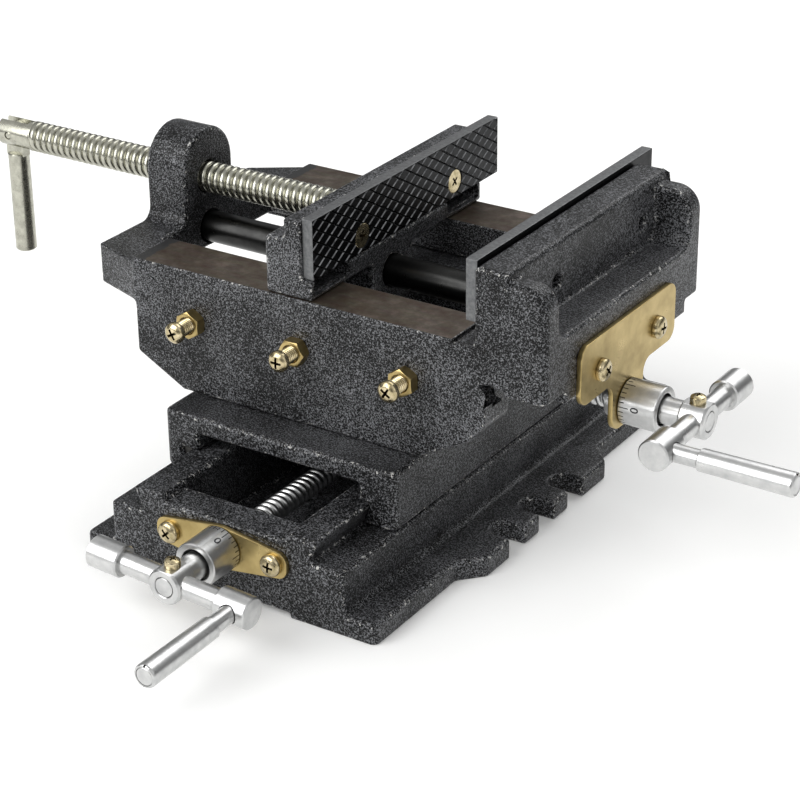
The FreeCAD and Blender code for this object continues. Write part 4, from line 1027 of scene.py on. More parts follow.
@dataclass
class CastPiece:
    """A casting: the solid with rounded cast edges, painted, and bare where it is milled."""

    dresser: Dresser
    node: str
    edge_mm: float = 1.4
    milled: tuple = ()
    pockets: tuple = ()
    sharp: float = math.radians(38)
    same_way: float = 0.87
    room_share: float = 0.42
    stray_share: float = 0.62
    level_gap: float = 0.03 * MM
    level_turn: float = 0.9995

    def share_edges(self, form: bmesh.types.BMesh) -> None:
        """Give each sharp edge the share of the full rounding that it has room for.

        Args:
            form: The casting.
        """
        share = form.edges.layers.float.new("bevel_weight_edge")
        full = self.edge_mm * MM
        sharp = [e for e in form.edges if e.calc_face_angle(0.0) > self.sharp]
        rooms = dict.fromkeys(sharp, full)
        chains: dict[bmesh.types.BMEdge, list[bmesh.types.BMEdge]] = {e: [] for e in sharp}
        for edge in sharp:
            way = (edge.verts[1].co - edge.verts[0].co).normalized()
            for vert in edge.verts:
                for other in vert.link_edges:
                    reach = other.other_vert(vert).co - vert.co
                    if abs(reach.normalized().dot(way)) < self.same_way:
                        rooms[edge] = min(rooms[edge], self.room_share * reach.length)
                    elif other is not edge and other in rooms:
                        chains[edge].append(other)
        changed = True
        while changed:
            changed = False
            for edge in sharp:
                least = min((rooms[other] for other in chains[edge]), default=full)
                if least < rooms[edge] - 1e-9:
                    rooms[edge] = least
                    changed = True
        for edge in sharp:
            edge[share] = rooms[edge] / full

    def flat_regions(self, form: bmesh.types.BMesh) -> list[set]:
        """Find each flat region that has a face with more than four corners.

        Args:
            form: The rounded casting.

        Returns:
            The faces of each region.
        """
        seen = set()
        regions = []
        for face in form.faces:
            if len(face.verts) < 5 or face in seen:
                continue
            centre = face.calc_center_median()
            region = {face}
            queue = [face]
            while queue:
                near = {other for edge in queue.pop().edges for other in edge.link_faces}
                for other in near - region - seen:
                    gap = other.calc_center_median() - centre
                    level = abs(gap.dot(face.normal)) < self.level_gap
                    along = abs(other.normal.dot(face.normal)) > self.level_turn
                    if level and along and other.material_index == face.material_index:
                        region.add(other)
                        queue.append(other)
            seen |= region
            regions.append(region)
        return regions

    def refill(self, mesh: bpy.types.Mesh) -> None:
        """Fill the flat regions anew, so that no face folds over itself at a hole.

        A region that can't be filled whole gets its own faces back.

        Args:
            mesh: The rounded casting.
        """
        with editing(mesh) as form:
            for region in self.flat_regions(form):
                largest = max(region, key=lambda face: face.calc_area())
                normal = largest.normal.copy()
                slot = largest.material_index
                corners = [list(face.verts) for face in region]
                edges = {edge for face in region for edge in face.edges}
                outline = [e for e in edges if len([f for f in e.link_faces if f in region]) == 1]
                bmesh.ops.delete(form, geom=list(region), context="FACES_ONLY")
                made = bmesh.ops.triangle_fill(form, use_beauty=True, edges=outline, normal=normal)
                faces = [item for item in made["geom"] if isinstance(item, bmesh.types.BMFace)]
                for face in faces:
                    face.normal_update()
                    if face.normal.dot(normal) < 0:
                        face.normal_flip()
                if any(len(edge.link_faces) != 2 for edge in outline):
                    bmesh.ops.delete(form, geom=faces, context="FACES_ONLY")
                    faces = [form.faces.new(loop) for loop in corners]
                    log.info("%s: a region of %d faces kept", self.node, len(faces))
                for face in faces:
                    face.material_index = slot
            loose = [edge for edge in form.edges if not edge.link_faces]
            bmesh.ops.delete(form, geom=loose, context="EDGES")

    def build(self) -> None:
        """Copy the solid's mesh, clean it, round its edges and dress it."""
        mesh = self.dresser.merged(self.node)
        for pocket in self.pockets:
            mesh = combine(mesh, pocket)
        with editing(mesh) as form:
            for face in form.faces:
                middle = face.calc_center_median()
                face.material_index = int(any(test(middle, face.normal) for test in self.milled))
            self.share_edges(form)
        for finish in (PAINT, MILLED, EDGE_SPECKS_AND_GLINTS):
            mesh.materials.append(finish.build())
        skin = bmesh.new()
        skin.from_mesh(mesh)
        nearest = BVHTree.FromBMesh(skin)
        skin.free()
        item = put("rough_casting", mesh)
        bevel = item.modifiers.new("cast_edges", "BEVEL")
        bevel.width = self.edge_mm * MM
        bevel.segments = 3
        bevel.limit_method = "WEIGHT"
        bevel.miter_outer = "MITER_ARC"
        bevel.use_clamp_overlap = False
        bevel.loop_slide = False
        # The edge strips take the third finish, with its painted edge highlights and chipped
        # paint.
        bevel.material = 2
        rounded = harvest(item)
        strays = 0
        for vert in rounded.vertices:
            spot, _, _, gap = nearest.find_nearest(vert.co)
            if gap > self.stray_share * self.edge_mm * MM:
                vert.co = spot
                strays += 1
        log.info("%s: %d stray corners drawn back", self.node, strays)
        self.refill(rounded)
        self.dresser.stand_for(self.node, settle(rounded), PAINT, MILLED, EDGE_SPECKS_AND_GLINTS)


@dataclass
class Castings:
    """The four painted castings."""

    dresser: Dresser
    rail_top: float = 96.5
    rail_left: float = -74.0
    rail_right: float = 64.2

    def on_rail(self, middle: Vector, normal: Vector) -> bool:
        """True for a face on top of the vise body's rails."""
        level = abs(middle.z - self.rail_top * MM) < 0.05 * MM and normal.z > 0.99
        return level and self.rail_left * MM < middle.x < self.rail_right * MM

    def notch(self) -> bpy.types.Mesh:
        """The star shaped hollow at the vise body's front right corner."""
        slant = Vector((0.49, -0.75, 0.44)).to_track_quat("Z", "Y").to_matrix().to_4x4()
        corner = Matrix.Scale(MM, 4) @ Matrix.Translation((79.4, -62.5, 79.1)) @ slant
        star = [(4.8, -0.8), (1.4, 0.7), (1.4, 3.5), (-0.9, 3.8), (-4.6, 4.4), (-1.7, 0.4),
                (-2.6, -4.0), (0.8, -2.1), (1.1, -3.0)]
        return Shape().prism(star, -13.0, 3.0, corner).mesh()

    def foot_pockets(self) -> bpy.types.Mesh:
        """Two rounded pockets low in the moving jaw's face."""
        pockets = Shape()
        face = seat((6.3, 0.0, 0.0), Axis.BACK, Axis.UP)
        top, bottom, corner = 103.2, 98.3, 1.8
        for low, high in ((-60.4, -43.0), (33.0, 50.4)):
            outline = []
            for x, y, start in ((high, top, 0), (low, top, 90), (low, bottom, 180),
                                (high, bottom, 270)):
                inward = Vector((-1 if x == high else 1, -1 if y == top else 1)) * corner
                outline += [(x + inward.x + corner * math.cos(math.radians(start + step)),
                             y + inward.y + corner * math.sin(math.radians(start + step)))
                            for step in (0, 30, 60, 90)]
            pockets.prism(outline, -2.0, 1.0, face)
        return pockets.mesh()

    def build(self) -> None:
        """Dress each casting."""
        CastPiece(self.dresser, "base_casting").build()
        CastPiece(self.dresser, "saddle_casting").build()
        CastPiece(self.dresser, "vise_body", milled=(self.on_rail,),
                  pockets=(self.notch(),)).build()
        CastPiece(self.dresser, "moving_jaw", pockets=(self.foot_pockets(),)).build()


@dataclass
class JawPlate:
    """A hardened jaw plate with crossed grooves and two countersunk screws."""

    dresser: Dresser
    shop: Workshop
    node: str
    screws: str
    place: Matrix
    length: float = 125.0
    height: float = 22.5
    thick: float = 4.5
    groove_pitch: float = 3.95
    groove_width: float = 0.75
    groove_depth: float = 0.36
    groove_slant: float = 30.0
    screw_half: float = 31.35
    screw_level: float = 6.2
    head: float = 4.8
    face_gap: float = 0.01

    def score(self, mesh: bpy.types.Mesh) -> bpy.types.Mesh:
        """Cut both families of grooves into the face at Z zero.

        Args:
            mesh: The plain plate.

        Returns:
            The scored plate.
        """
        half = self.groove_width / 2
        reach = self.length / 2 + self.height
        roots = []
        for slant in (self.groove_slant, -self.groove_slant):
            turn = math.radians(slant)
            normal = Vector((-math.sin(turn), math.cos(turn), 0))
            count = int(reach / self.groove_pitch)
            for step in range(-count, count + 1):
                middle = normal * (step * self.groove_pitch)
                middle.y += self.height / 2
                roots.append((middle, normal))
        with editing(mesh) as form:
            for middle, normal in roots:
                for side in (-half, 0.0, half):
                    faces = [f for f in form.faces if f.normal.z > 0.9
                             and abs(f.calc_center_median().z) < self.face_gap]
                    edges = {e for f in faces for e in f.edges}
                    verts = {v for f in faces for v in f.verts}
                    bmesh.ops.bisect_plane(form, geom=list(verts) + list(edges) + faces,
                                           dist=1e-5, plane_co=middle + normal * side,
                                           plane_no=normal)
            for vert in form.verts:
                if abs(vert.co.z) > self.face_gap:
                    continue
                if any(abs((vert.co - middle).dot(normal)) < 1e-3 for middle, normal in roots):
                    vert.co.z = -self.groove_depth
        return mesh

    def on_edge(self, middle: Vector, normal: Vector) -> bool:
        """True for a face of the plate's ground border."""
        inset = min(middle.y, self.height - middle.y, self.length / 2 - abs(middle.x))
        return inset < 0.2 and abs(normal.z) < 0.9

    def in_glint_wall(self, middle: Vector, normal: Vector) -> bool:
        """True for a wall of the grooves that rise along the plate; these walls get the painted
        glint finish.
        """
        wall = middle.z > -self.groove_depth and 0.2 < normal.z < 0.97
        return wall and normal.x * normal.y < -0.01

    def build(self) -> None:
        """Make the plate and its screws."""
        outline = rectangle(-self.length / 2, 0.0, self.length / 2, self.height)
        blank = Shape().prism(outline, -self.thick, 0.0).mesh()
        plate = self.score(soften(blank, 0.35, 2))
        centres = [(side * self.screw_half, self.screw_level) for side in (-1, 1)]
        for x, y in centres:
            sink = Shape().turned([(0.5, 0.0), (0.5, self.head + 0.55), (-2.3, 2.6),
                                   (-self.thick - 1, 2.6), (-self.thick - 1, 0.0)],
                                  place=Matrix.Translation((x, y, 0)))
            plate = combine(plate, sink.mesh())
        # The walls of one groove family get the painted glint finish.
        settle(plate, self.place, [self.on_edge, self.in_glint_wall])
        self.dresser.stand_for(self.node, plate, BLACKENED, GROUND, GLINT_WALL)
        cone = Shape().turned([(-13.4, 0.0), (-13.4, 2.1), (-13.0, 2.45), (-2.7, 2.45),
                               (-0.55, self.head - 0.25), (-0.35, self.head - 0.25),
                               (-0.25, self.head - 0.5), (-0.2, 0.0)], 40).mesh()
        cone = self.shop.recessed(cone, -0.2, 2.5, 1.1, 1.9)
        screws = self.shop.row(cone, [(x, y, 0.0) for x, y in centres], GOLD_SCREW)
        # The recess faces take the painted shade finish.
        settle(screws, self.place, [cross_test(2.6, -0.25, 0.0, centres)])
        self.dresser.stand_for(self.screws, screws, GOLD_SCREW, PAINTED_SHADE)


@dataclass
class GibRow:
    """Three adjusting screws with lock nuts in a casting's side."""

    dresser: Dresser
    shop: Workshop
    slide: str
    place: Matrix
    pitch: float = 45.6
    out: float = 13.5
    head: float = 4.0
    head_thick: float = 3.2
    nut_across: float = 9.3
    nut_thick: float = 4.6
    inside: float = 6.5
    seed: int = 5

    def nut(self) -> bpy.types.Mesh:
        """One hexagon nut with turned corners and a countersunk bore."""
        corner = self.nut_across / math.sqrt(3)
        outline = [(corner * math.cos(math.radians(60 * k)),
                    corner * math.sin(math.radians(60 * k))) for k in range(6)]
        blank = Shape().prism(outline, 0.0, self.nut_thick).mesh()
        rim = self.nut_across / 2 * 0.97
        turned = Shape().turned([(0.0, 0.0), (0.0, rim), (0.5, corner + 0.05),
                                 (self.nut_thick - 0.6, corner + 0.05),
                                 (self.nut_thick, rim), (self.nut_thick, 0.0)], 72)
        nut = combine(blank, turned.mesh(), Cut.SHARED)
        bore = Shape().turned([(-1.0, 0.0), (-1.0, 3.02), (self.nut_thick - 0.5, 3.02),
                               (self.nut_thick + 0.1, 3.6), (self.nut_thick + 0.5, 3.6),
                               (self.nut_thick + 0.5, 0.0)], 40)
        return combine(nut, bore.mesh())

    def screw(self) -> bpy.types.Mesh:
        """One cross-head screw with its thread."""
        neck = self.out - self.head_thick
        head = Shape().turned([(neck, 0.0), (neck, self.head - 0.3), (neck + 0.3, self.head),
                               (self.out - 1.6, self.head), (self.out - 0.9, self.head - 0.35),
                               (self.out - 0.35, self.head - 1.2), (self.out - 0.1, 2.4),
                               (self.out, 1.2), (self.out, 0.0)], 40).mesh()
        head = self.shop.recessed(head, self.out, 2.7, 1.15, 2.1)
        thread = self.shop.thread(GOLD_SCREW, neck + self.inside + 0.5, 2.95, 1.0, 0.55, 1.0,
                                  25, 7)
        thread.transform(Matrix.Translation((0, 0, -self.inside)))
        shank = Shape().rod(neck - 1.2, neck + 0.1, 2.7, 32)
        return shank.add(head).add(thread).mesh()

    def build(self) -> None:
        """Make the row of screws and the row of nuts."""
        places = [(side * self.pitch, 0.0, 0.0) for side in (-1, 0, 1)]
        nuts = self.shop.row(self.nut(), places, YELLOW_ZINC, math.pi / 3, self.seed)
        self.dresser.stand_for(f"{self.slide}_gib_nuts", settle(nuts, self.place), YELLOW_ZINC)
        screws = self.shop.row(self.screw(), places, GOLD_SCREW, math.pi, self.seed + 1)
        # The recess faces of the heads take the painted shade finish.
        test = cross_test(2.75, self.out - 0.12, 0.05, [p[:2] for p in places])
        upper = [lambda middle, normal: test(middle, normal)
                 and middle.z > self.out - self.head_thick + 0.2 and abs(normal.z) < 0.97]
        settle(screws, self.place, upper)
        self.dresser.stand_for(f"{self.slide}_gib_screws", screws, GOLD_SCREW, PAINTED_SHADE)


@dataclass
class ScrewPlate:
    """A pressed steel plate with its two pan head screws."""

    dresser: Dresser
    shop: Workshop
    slide: str
    place: Matrix
    half: float
    thick: float = 2.0
    head: float = 4.15
    head_thick: float = 2.9
    shank: float = 2.45
    shank_length: float = 11.9
    seed: int = 2

    def build(self) -> None:
        """Round the plate's edges and set its screws."""
        plate = settle(soften(self.dresser.merged(f"{self.slide}_screw_plate"), 0.4 * MM, 2))
        self.dresser.stand_for(f"{self.slide}_screw_plate", plate, YELLOW_ZINC)
        top = self.head_thick
        screw = Shape().turned([(-self.shank_length, 0.0), (-self.shank_length, 2.0),
                                (0.5 - self.shank_length, self.shank), (0.02, self.shank),
                                (0.02, self.head - 0.2), (0.2, self.head), (1.3, self.head),
                                (2.0, self.head - 0.3), (2.5, self.head - 1.0),
                                (2.8, self.head - 2.1), (top, 1.0), (top, 0.0)], 44).mesh()
        screw = self.shop.recessed(screw, top, 2.6, 1.1, 1.9)
        centres = [(-self.half, 0.0), (self.half, 0.0)]
        screws = self.shop.row(screw, [(x, y, 0.0) for x, y in centres], GOLD_SCREW,
                               math.pi, self.seed)
        # The recess faces of the heads take the painted shade finish.
        test = cross_test(2.65, top - 0.15, 0.08, centres)
        settle(screws, self.place, [lambda middle, normal: test(middle, normal)
                                    and middle.z > 0.6 and abs(normal.z) < 0.97])
        self.dresser.stand_for(f"{self.slide}_plate_screws", screws, GOLD_SCREW, PAINTED_SHADE)


@dataclass
class CrankDrive:
    """Lead screw, dial, crank and turning handle of one slide.

    The shapes' own Z points out of the casting, from its face, and X along the crank.
    """

    dresser: Dresser
    shop: Workshop
    slide: str
    place: Matrix
    thread_end: float
    hand: int
    tilt: float = 0.0
    zero_at: float = 0.0
    shaft: float = 3.7
    hub_start: float = 24.2
    hub: float = 6.75
    hub_length: float = 10.0
    reach: float = 27.0
    bar: float = 4.0
    knob: float = 5.85
    knob_length: float = 13.0
    dial: float = 8.5
    dial_start: float = 2.25
    dial_end: float = 16.75
    dial_bore: float = 6.0
    grip_start: float = 44.0
    grip_end: float = 79.0

    @property
    def hub_end(self) -> float:
        """Where the hub's outer face lies."""
        return self.hub_start + self.hub_length

    @property
    def hub_middle(self) -> float:
        """Where the crank's bar lies."""
        return self.hub_start + self.hub_length / 2

    def tilted(self) -> Matrix:
        """The place of what turns with the crank."""
        return self.place @ Matrix.Rotation(math.radians(self.tilt), 4, "Z")

    def lead_screw(self) -> None:
        """The threaded screw with its collar and shaft."""
        end = self.hub_end
        rod = Shape().turned([(-4.5, 0.0), (-4.5, 4.3), (-4.0, 4.3), (-4.0, 6.8), (-3.8, 7.0),
                              (-0.2, 7.0), (0.0, 6.8), (0.0, self.shaft),
                              (end - 0.35, self.shaft), (end, self.shaft - 0.35),
                              (end, 0.0)], 48)
        length = -4.0 - self.thread_end
        thread = self.shop.thread(BRIGHT, length, 4.5, 3.0, 1.15, 1.6)
        thread.transform(Matrix.Translation((0, 0, self.thread_end)))
        mesh = settle(rod.add(thread).mesh(), self.place, (), THREAD_SHARP)
        self.dresser.stand_for(f"{self.slide}_lead_screw", mesh, BRIGHT)

    def figure(self, text: str, angle: float) -> bpy.types.Mesh:
        """One number of the dial, laid on its rim.

        Args:
            text: The number.
            angle: Where it stands, in degrees round the dial.

        Returns:
            The number's mesh.
        """
        words = bpy.data.curves.new("figure", "FONT")
        words.body = text
        words.size = 4.3
        words.extrude = 0.03
        words.offset = 0.05
        words.align_x = "CENTER"
        words.align_y = "CENTER"
        item = bpy.data.objects.new("figure", words)
        bpy.context.scene.collection.objects.link(item)
        mesh = harvest(item)
        middle = self.dial_start + 6.4
        for vert in mesh.vertices:
            around = math.radians(angle) + vert.co.x / self.dial
            radius = self.dial + 0.02 + vert.co.z
            vert.co = Vector((radius * math.cos(around), radius * math.sin(around),
                              middle + vert.co.y))
        return mesh

    def dial_ring(self) -> None:
        """The cup-shaped dial with its marks and numbers."""
        rim, start, end = self.dial, self.dial_start, self.dial_end
        cup = Shape().turned([(start, self.shaft + 0.1), (start, rim - 0.25),
                              (start + 0.25, rim), (end - 0.6, rim), (end - 0.15, rim - 0.3),
                              (end, rim - 0.7), (end, self.dial_bore + 0.4),
                              (end - 0.3, self.dial_bore), (start + 5.0, self.dial_bore),
                              (start + 5.0, self.shaft + 0.1)], 72, ring=True).mesh()
        marks = self.shop.marks.run(ENGRAVED, Radius=rim, Start=start + 0.3)
        marks.transform(Matrix.Rotation(math.radians(self.zero_at), 4, "Z"))
        written = Shape(marks)
        for number, text in enumerate(("0", "10", "20")):
            written.add(self.figure(text, self.zero_at + 120 * number))
        mesh = Shape(cup).numbered(0).add(written.numbered(1).plain()).plain()
        self.dresser.stand_for(f"{self.slide}_dial", settle(mesh, self.place), BRIGHT, ENGRAVED)

    def crank_arm(self) -> None:
        """Hub, bar and end knobs as one machined piece with its bores."""
        middle, end = self.hub_middle, self.hub_end
        lying = Matrix.Translation((0, 0, middle)) @ Matrix.Rotation(math.pi / 2, 4, "Y")
        hub = Shape().turned([(self.dial_start + 5.3, 0.0), (self.dial_start + 5.3, 5.0),
                              (self.hub_start, 5.0), (self.hub_start, self.hub - 0.7),
                              (self.hub_start + 0.7, self.hub), (end - 0.7, self.hub),
                              (end, self.hub - 0.7), (end, 0.0)], 64).mesh()
        bar = Shape().rod(-self.reach, self.reach, self.bar, 48, lying)
        arm = combine(hub, bar.mesh(), Cut.JOINED)
        for side in (-1, 1):
            half = self.knob_length / 2
            ends = [(-half, 0.0), (-half, self.knob - 0.5), (0.5 - half, self.knob),
                    (half - 0.5, self.knob), (half, self.knob - 0.5), (half, 0.0)]
            place = lying @ Matrix.Translation((0, 0, side * self.reach))
            knob = Shape().turned(ends, 56, place=place)
            arm = combine(arm, knob.mesh(), Cut.JOINED)
        flat = Shape().prism(rectangle(-5.0, 6.15, 5.0, 9.0), self.hub_start - 1, end + 1)
        arm = combine(arm, flat.mesh())
        bore = Shape().turned([(0.0, 0.0), (0.0, self.shaft + 0.1), (end - 0.25, self.shaft + 0.1),
                               (end + 0.1, self.shaft + 0.5), (end + 1, self.shaft + 0.5),
                               (end + 1, 0.0)], 48)
        arm = combine(arm, bore.mesh())
        aside = Matrix.Translation((self.hand * self.reach, 0, 0))
        pin = Shape().rod(middle, middle + 10, 3.6, 40, aside)
        arm = combine(arm, pin.mesh())
        mesh = settle(soften(arm, 0.22, 2, 38.0), self.tilted())
        self.dresser.stand_for(f"{self.slide}_crank_arm", mesh, BRIGHT)

    def set_screw(self) -> None:
        """The yellow set screw on the hub's flat."""
        upright = Matrix.Rotation(-math.pi / 2, 4, "X")
        standing = Matrix.Translation((0, 0, self.hub_middle)) @ upright
        screw = Shape().turned([(3.8, 0.0), (3.8, 1.9), (6.1, 1.9), (6.1, 2.7), (6.3, 2.9),
                                (8.1, 2.9), (8.7, 2.6), (9.15, 1.8), (9.3, 0.9),
                                (9.3, 0.0)], 40).mesh()
        screw = self.shop.recessed(screw, 9.3, 1.9, 0.8, 1.5)
        screw.transform(standing)

        def recess(middle: Vector, normal: Vector) -> bool:
            """True inside the cross recess, which takes the painted shade finish."""
            away = math.hypot(middle.x, middle.z - self.hub_middle)
            return away < 1.95 and 7.0 < middle.y < 9.2 - 0.1 * away and abs(normal.y) < 0.97

        settle(screw, self.tilted(), [recess])
        self.dresser.stand_for(f"{self.slide}_crank_set_screw", screw, GOLD_SCREW, PAINTED_SHADE)

    def handle(self) -> None:
        """Spindle with its riveted end, and the sleeve that turns on it."""
        aside = self.tilted() @ Matrix.Translation((self.hand * self.reach, 0, 0))
        middle = self.hub_middle
        start, end = self.grip_start, self.grip_end
        spindle = Shape().turned([(middle + 0.05, 0.0), (middle + 0.05, 3.3),
                                  (start - 0.45, 3.3), (start - 0.25, 3.1), (start - 0.2, 2.3),
                                  (end - 2.0, 2.3), (end - 2.0, 3.3), (end - 0.2, 3.3),
                                  (end - 0.02, 3.1), (end - 0.02, 0.0)], 48)
        self.dresser.stand_for(f"{self.slide}_handle_spindle", settle(spindle.mesh(), aside),
                               BRIGHT)
        sleeve = Shape().turned([(start, 2.4), (start, 3.95), (start + 0.15, 4.1),
                                 (end - 1.1, 4.4), (end - 0.6, 4.33), (end - 0.2, 4.1),
                                 (end, 3.8), (end, 3.42), (end - 2.1, 3.42),
                                 (end - 2.1, 2.4)], 56, ring=True).mesh()
        for side in (-1, 1):
            place = Matrix.Translation((0, side * 4.0, 0))
            nick = Shape().rod(end - 0.7, end + 0.5, 0.42, 16, place)
            sleeve = combine(sleeve, nick.mesh())
        # The nicks' inner faces take the painted shade finish.
        nicks = cross_test(0.6, end - 0.1, 0.0, [(0, -4.0), (0, 4.0)])
        settle(sleeve, aside, [lambda middle, normal: nicks(middle, normal)
                               and middle.z > end - 0.75
                               and math.hypot(middle.x, middle.y) < 4.2])
        self.dresser.stand_for(f"{self.slide}_handle_grip", sleeve, BRIGHT, PAINTED_SHADE)

    def build(self) -> None:
        """Make all of the drive."""
        self.lead_screw()
        self.dial_ring()
        self.crank_arm()
        self.set_screw()
        self.handle()


@dataclass
class Clamp:
    """Clamp screw, its handle and the round guide bar. Z points right along the screw."""

    dresser: Dresser
    shop: Workshop
    axis_y: float = -10.0
    axis_z: float = 110.0
    left: float = -178.0
    head: float = 5.7
    head_length: float = 16.0
    jaw: float = -13.2
    pin_inset: float = 6.0
    slot: float = 4.2
    slot_length: float = 14.0
    bar: float = 4.25
    shoulder: float = 8.4
    hang: float = 50.0

    def screw(self) -> None:
        """Threaded rod with a slotted head."""
        place = seat((self.left, self.axis_y, self.axis_z), Axis.BACK, Axis.UP)
        head = Shape().turned([(0.0, 0.0), (0.0, self.head - 0.8), (0.3, self.head - 0.3),
                               (0.8, self.head), (self.head_length, self.head),
                               (self.head_length + 1.5, 4.9), (self.head_length + 1.5, 0.0)],
                              56).mesh()
        half = self.slot / 2
        gap = Shape().prism(rectangle(-half, -8, half, 8), -1.0, self.slot_length)
        head = combine(head, gap.mesh())
        lying = Matrix.Rotation(math.pi / 2, 4, "Y")
        across = Matrix.Translation((0, 0, self.pin_inset)) @ lying
        hole = Shape().rod(-8.0, 8.0, 1.6, 32, across)
        head = soften(combine(head, hole.mesh()), 0.15)
        inner = self.jaw - self.left
        thread = self.shop.thread(WARM_ZINC, inner - self.head_length, 6.0, 3.0, 1.3, 1.7, 49, 12)
        thread.transform(Matrix.Translation((0, 0, self.head_length)))
        journal = Shape().turned([(inner - 3, 0.0), (inner - 3, 4.5), (inner + 12.7, 4.5),
                                  (inner + 12.9, 4.3), (inner + 12.9, 0.0)], 40)
        mesh = settle(journal.add(head).add(thread).mesh(), place, (), THREAD_SHARP)
        self.dresser.stand_for("clamp_screw", mesh, WARM_ZINC)

    def handle(self) -> None:
        """Round handle whose flattened top is pinned in the slot."""
        place = seat((self.left + self.pin_inset, self.axis_y, self.axis_z), Axis.RIGHT,
                     Axis.BACK)
        bar = Shape().turned([(-self.shoulder, 0.0), (-self.shoulder, self.bar - 0.4),
                              (-self.shoulder - 0.4, self.bar), (0.6 - self.hang, self.bar),
                              (-self.hang, self.bar - 0.6), (-self.hang, 0.0)], 48).mesh()
        outline = [(self.bar * math.cos(math.radians(a)), self.bar * math.sin(math.radians(a)))
                   for a in range(0, 181, 12)]
        low = -self.shoulder - 1.0
        outline += [(-self.bar, low), (self.bar, low)]
        standing = Matrix.Rotation(math.pi / 2, 4, "X")
        tang = Shape().prism(outline, -2.0, 2.0, standing).mesh()
        tang = combine(tang, Shape().rod(-3.0, 3.0, 1.6, 32, standing).mesh())
        mesh = soften(combine(bar, tang, Cut.JOINED), 0.2, 2, 40.0)
        self.dresser.stand_for("clamp_handle", settle(mesh, place), WARM_ZINC)

    def pin(self) -> None:
        """The pin through head and handle."""
        place = seat((self.left + self.pin_inset, self.axis_y, self.axis_z), Axis.UP,
                     Axis.RIGHT)
        pin = Shape().turned([(-5.4, 0.0), (-5.4, 1.1), (-5.1, 1.5), (5.1, 1.5), (5.4, 1.1),
                              (5.4, 0.0)], 28)
        self.dresser.stand_for("clamp_handle_pin", settle(pin.mesh(), place), WARM_ZINC)

    def guide(self) -> None:
        """The black guide bar under the screw."""
        place = seat((-92.5, self.axis_y, 90.0), Axis.BACK, Axis.UP)
        bar = Shape().turned([(0.0, 0.0), (0.0, 5.3), (0.7, 6.0), (171.7, 6.0), (172.4, 5.3),
                              (172.4, 0.0)], 64)
        self.dresser.stand_for("guide_bar", settle(bar.mesh(), place), BLACK_OXIDE)

    def build(self) -> None:
        """Make all of the clamp."""
        self.screw()
        self.handle()
        self.pin()
        self.guide()
        self.dresser.keep("clamp_retaining_pin", WARM_ZINC)


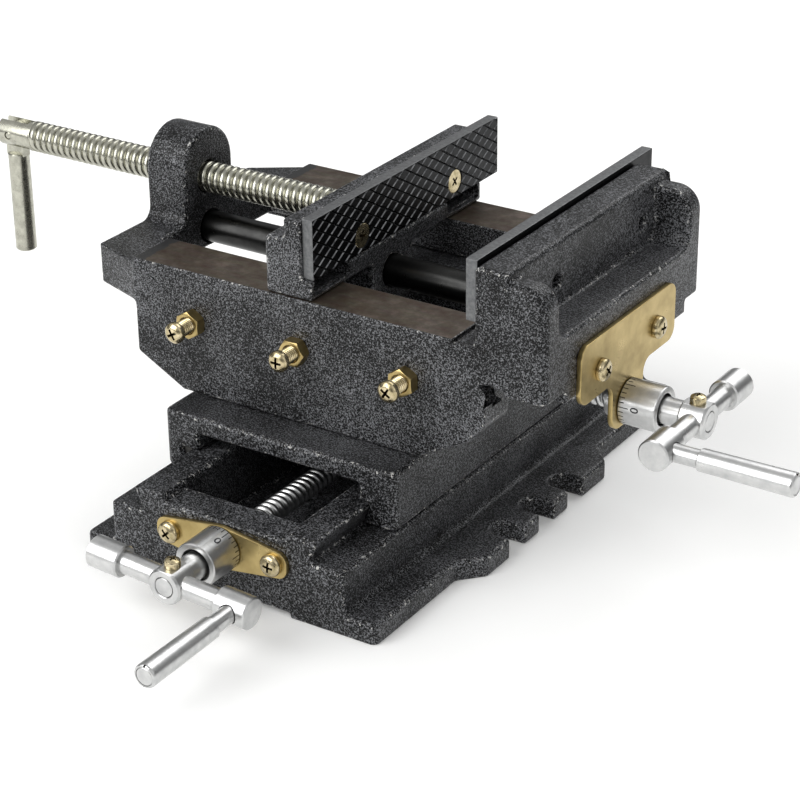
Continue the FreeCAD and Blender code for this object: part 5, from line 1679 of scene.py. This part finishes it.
@dataclass
class Studio:
    """Camera, lights and floor as in the photograph."""

    place: tuple[float, float, float] = (0.446289, -0.682257, 0.433501)
    azimuth: float = 33.06
    elevation: float = 26.27
    roll: float = -0.62
    lens: float = 107.385
    sensor: float = 36.0
    aim: tuple[float, float, float] = (0.0, 0.0, 0.06)
    world_strength: float = 0.62
    floor_half: float = 3.0
    lamps: tuple = (("key", (-0.6, -1.3, 1.0), 1.4, 25.0),
                    ("fill", (1.3, -0.6, 0.6), 1.2, 2.5),
                    ("rim", (0.1, 1.2, 1.4), 1.4, 13.0))

    def camera(self) -> None:
        """Put the camera where the photograph was taken from."""
        turn, rise, tilt = (math.radians(a) for a in (self.azimuth, self.elevation, self.roll))
        back = Vector((math.sin(turn) * math.cos(rise), -math.cos(turn) * math.cos(rise),
                       math.sin(rise)))
        right = Vector((math.cos(turn), math.sin(turn), 0))
        up = back.cross(right)
        side = right * math.cos(tilt) + up * math.sin(tilt)
        top = up * math.cos(tilt) - right * math.sin(tilt)
        data = bpy.data.cameras.new("camera")
        data.lens = self.lens
        data.sensor_width = self.sensor
        data.clip_start = 0.01
        data.clip_end = 20.0
        item = bpy.data.objects.new("camera", data)
        columns = Matrix((side, top, back)).transposed().to_4x4()
        item.matrix_world = Matrix.Translation(self.place) @ columns
        bpy.context.scene.collection.objects.link(item)
        bpy.context.scene.camera = item

    def lamp(self, name: str, place: Sequence[float], size: float, power: float) -> None:
        """Add one soft square lamp that looks at the object.

        Args:
            name: The lamp's name.
            place: Where it hangs.
            size: Its side.
            power: Its power in watts.
        """
        data = bpy.data.lights.new(name, "AREA")
        data.size = size
        data.energy = power
        item = bpy.data.objects.new(name, data)
        item.location = place
        way = Vector(self.aim) - Vector(place)
        item.rotation_euler = way.to_track_quat("-Z", "Y").to_euler()
        bpy.context.scene.collection.objects.link(item)

    def surroundings(self) -> None:
        """A white ceiling over grey walls, so that metal shows its roundness."""
        world = bpy.data.worlds.new("white_ceiling_grey_walls")
        bpy.context.scene.world = world
        world.use_nodes = True
        tree = world.node_tree
        way = add_node(tree, "ShaderNodeTexCoord").outputs["Generated"]
        rise = add_node(tree, "ShaderNodeSeparateXYZ", {"Vector": way}).outputs["Z"]
        walls = add_node(tree, "ShaderNodeValToRGB", {"Fac": rise})
        set_ramp(walls, [(0.0, "#8a8b8d"), (0.12, "#5f6062"), (0.42, "#c8c9ca"),
                         (0.7, "#ffffff")])
        backdrop = tree.nodes["Background"]
        tree.links.new(walls.outputs["Color"], backdrop.inputs["Color"])
        backdrop.inputs["Strength"].default_value = self.world_strength

    def build(self) -> None:
        """Make the camera, the lights, the surroundings and the floor."""
        self.camera()
        for name, place, size, power in self.lamps:
            self.lamp(name, place, size, power)
        self.surroundings()
        form = bmesh.new()
        bmesh.ops.create_grid(form, x_segments=2, y_segments=2, size=self.floor_half)
        mesh = bpy.data.meshes.new("floor")
        form.to_mesh(mesh)
        form.free()
        floor = put("floor", mesh)
        mesh.materials.append(PaleFloor().build())
        bpy.context.scene.view_settings.view_transform = "Standard"


def main() -> None:
    """Load the solids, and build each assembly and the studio."""
    logging.basicConfig(level=logging.INFO, format="%(name)s: %(message)s")
    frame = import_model()
    dresser = Dresser(frame)
    shop = Workshop()
    Studio().build()
    Castings(dresser).build()
    JawPlate(dresser, shop, "moving_jaw_plate", "moving_jaw_screws",
             seat((6.3, 2.1, 104.0), Axis.BACK, Axis.UP)).build()
    JawPlate(dresser, shop, "fixed_jaw_plate", "fixed_jaw_screws",
             seat((68.0, 2.1, 104.0), Axis.FRONT, Axis.UP)).build()
    GibRow(dresser, shop, "upper", seat((0.0, -62.5, 77.2), Axis.RIGHT, Axis.UP)).build()
    GibRow(dresser, shop, "lower", seat((-50.0, -6.0, 28.9), Axis.FRONT, Axis.UP),
           seed=11).build()
    ScrewPlate(dresser, shop, "lower", seat((0.0, -112.0, 21.0), Axis.RIGHT, Axis.UP),
               22.0).build()
    ScrewPlate(dresser, shop, "upper", seat((102.0, -6.0, 80.5), Axis.BACK, Axis.UP),
               20.6, seed=7).build()
    CrankDrive(dresser, shop, "lower", seat((0.0, -110.0, 21.0), Axis.RIGHT, Axis.UP),
               -174.0, 1, -3.7, 60.0).build()
    CrankDrive(dresser, shop, "upper", seat((100.0, -6.0, 60.0), Axis.BACK, Axis.UP),
               -162.0, -1, 0.0, 172.0).build()
    Clamp(dresser, shop).build()
    for node in ("lower_gib", "upper_gib", "lower_screw_nut", "upper_screw_nut"):
        dresser.keep(node, IRON)
    for node in ("lower_nut_bolts", "upper_nut_bolts"):
        dresser.keep(node, BLACK_OXIDE)


if __name__ == "__main__":
    main()
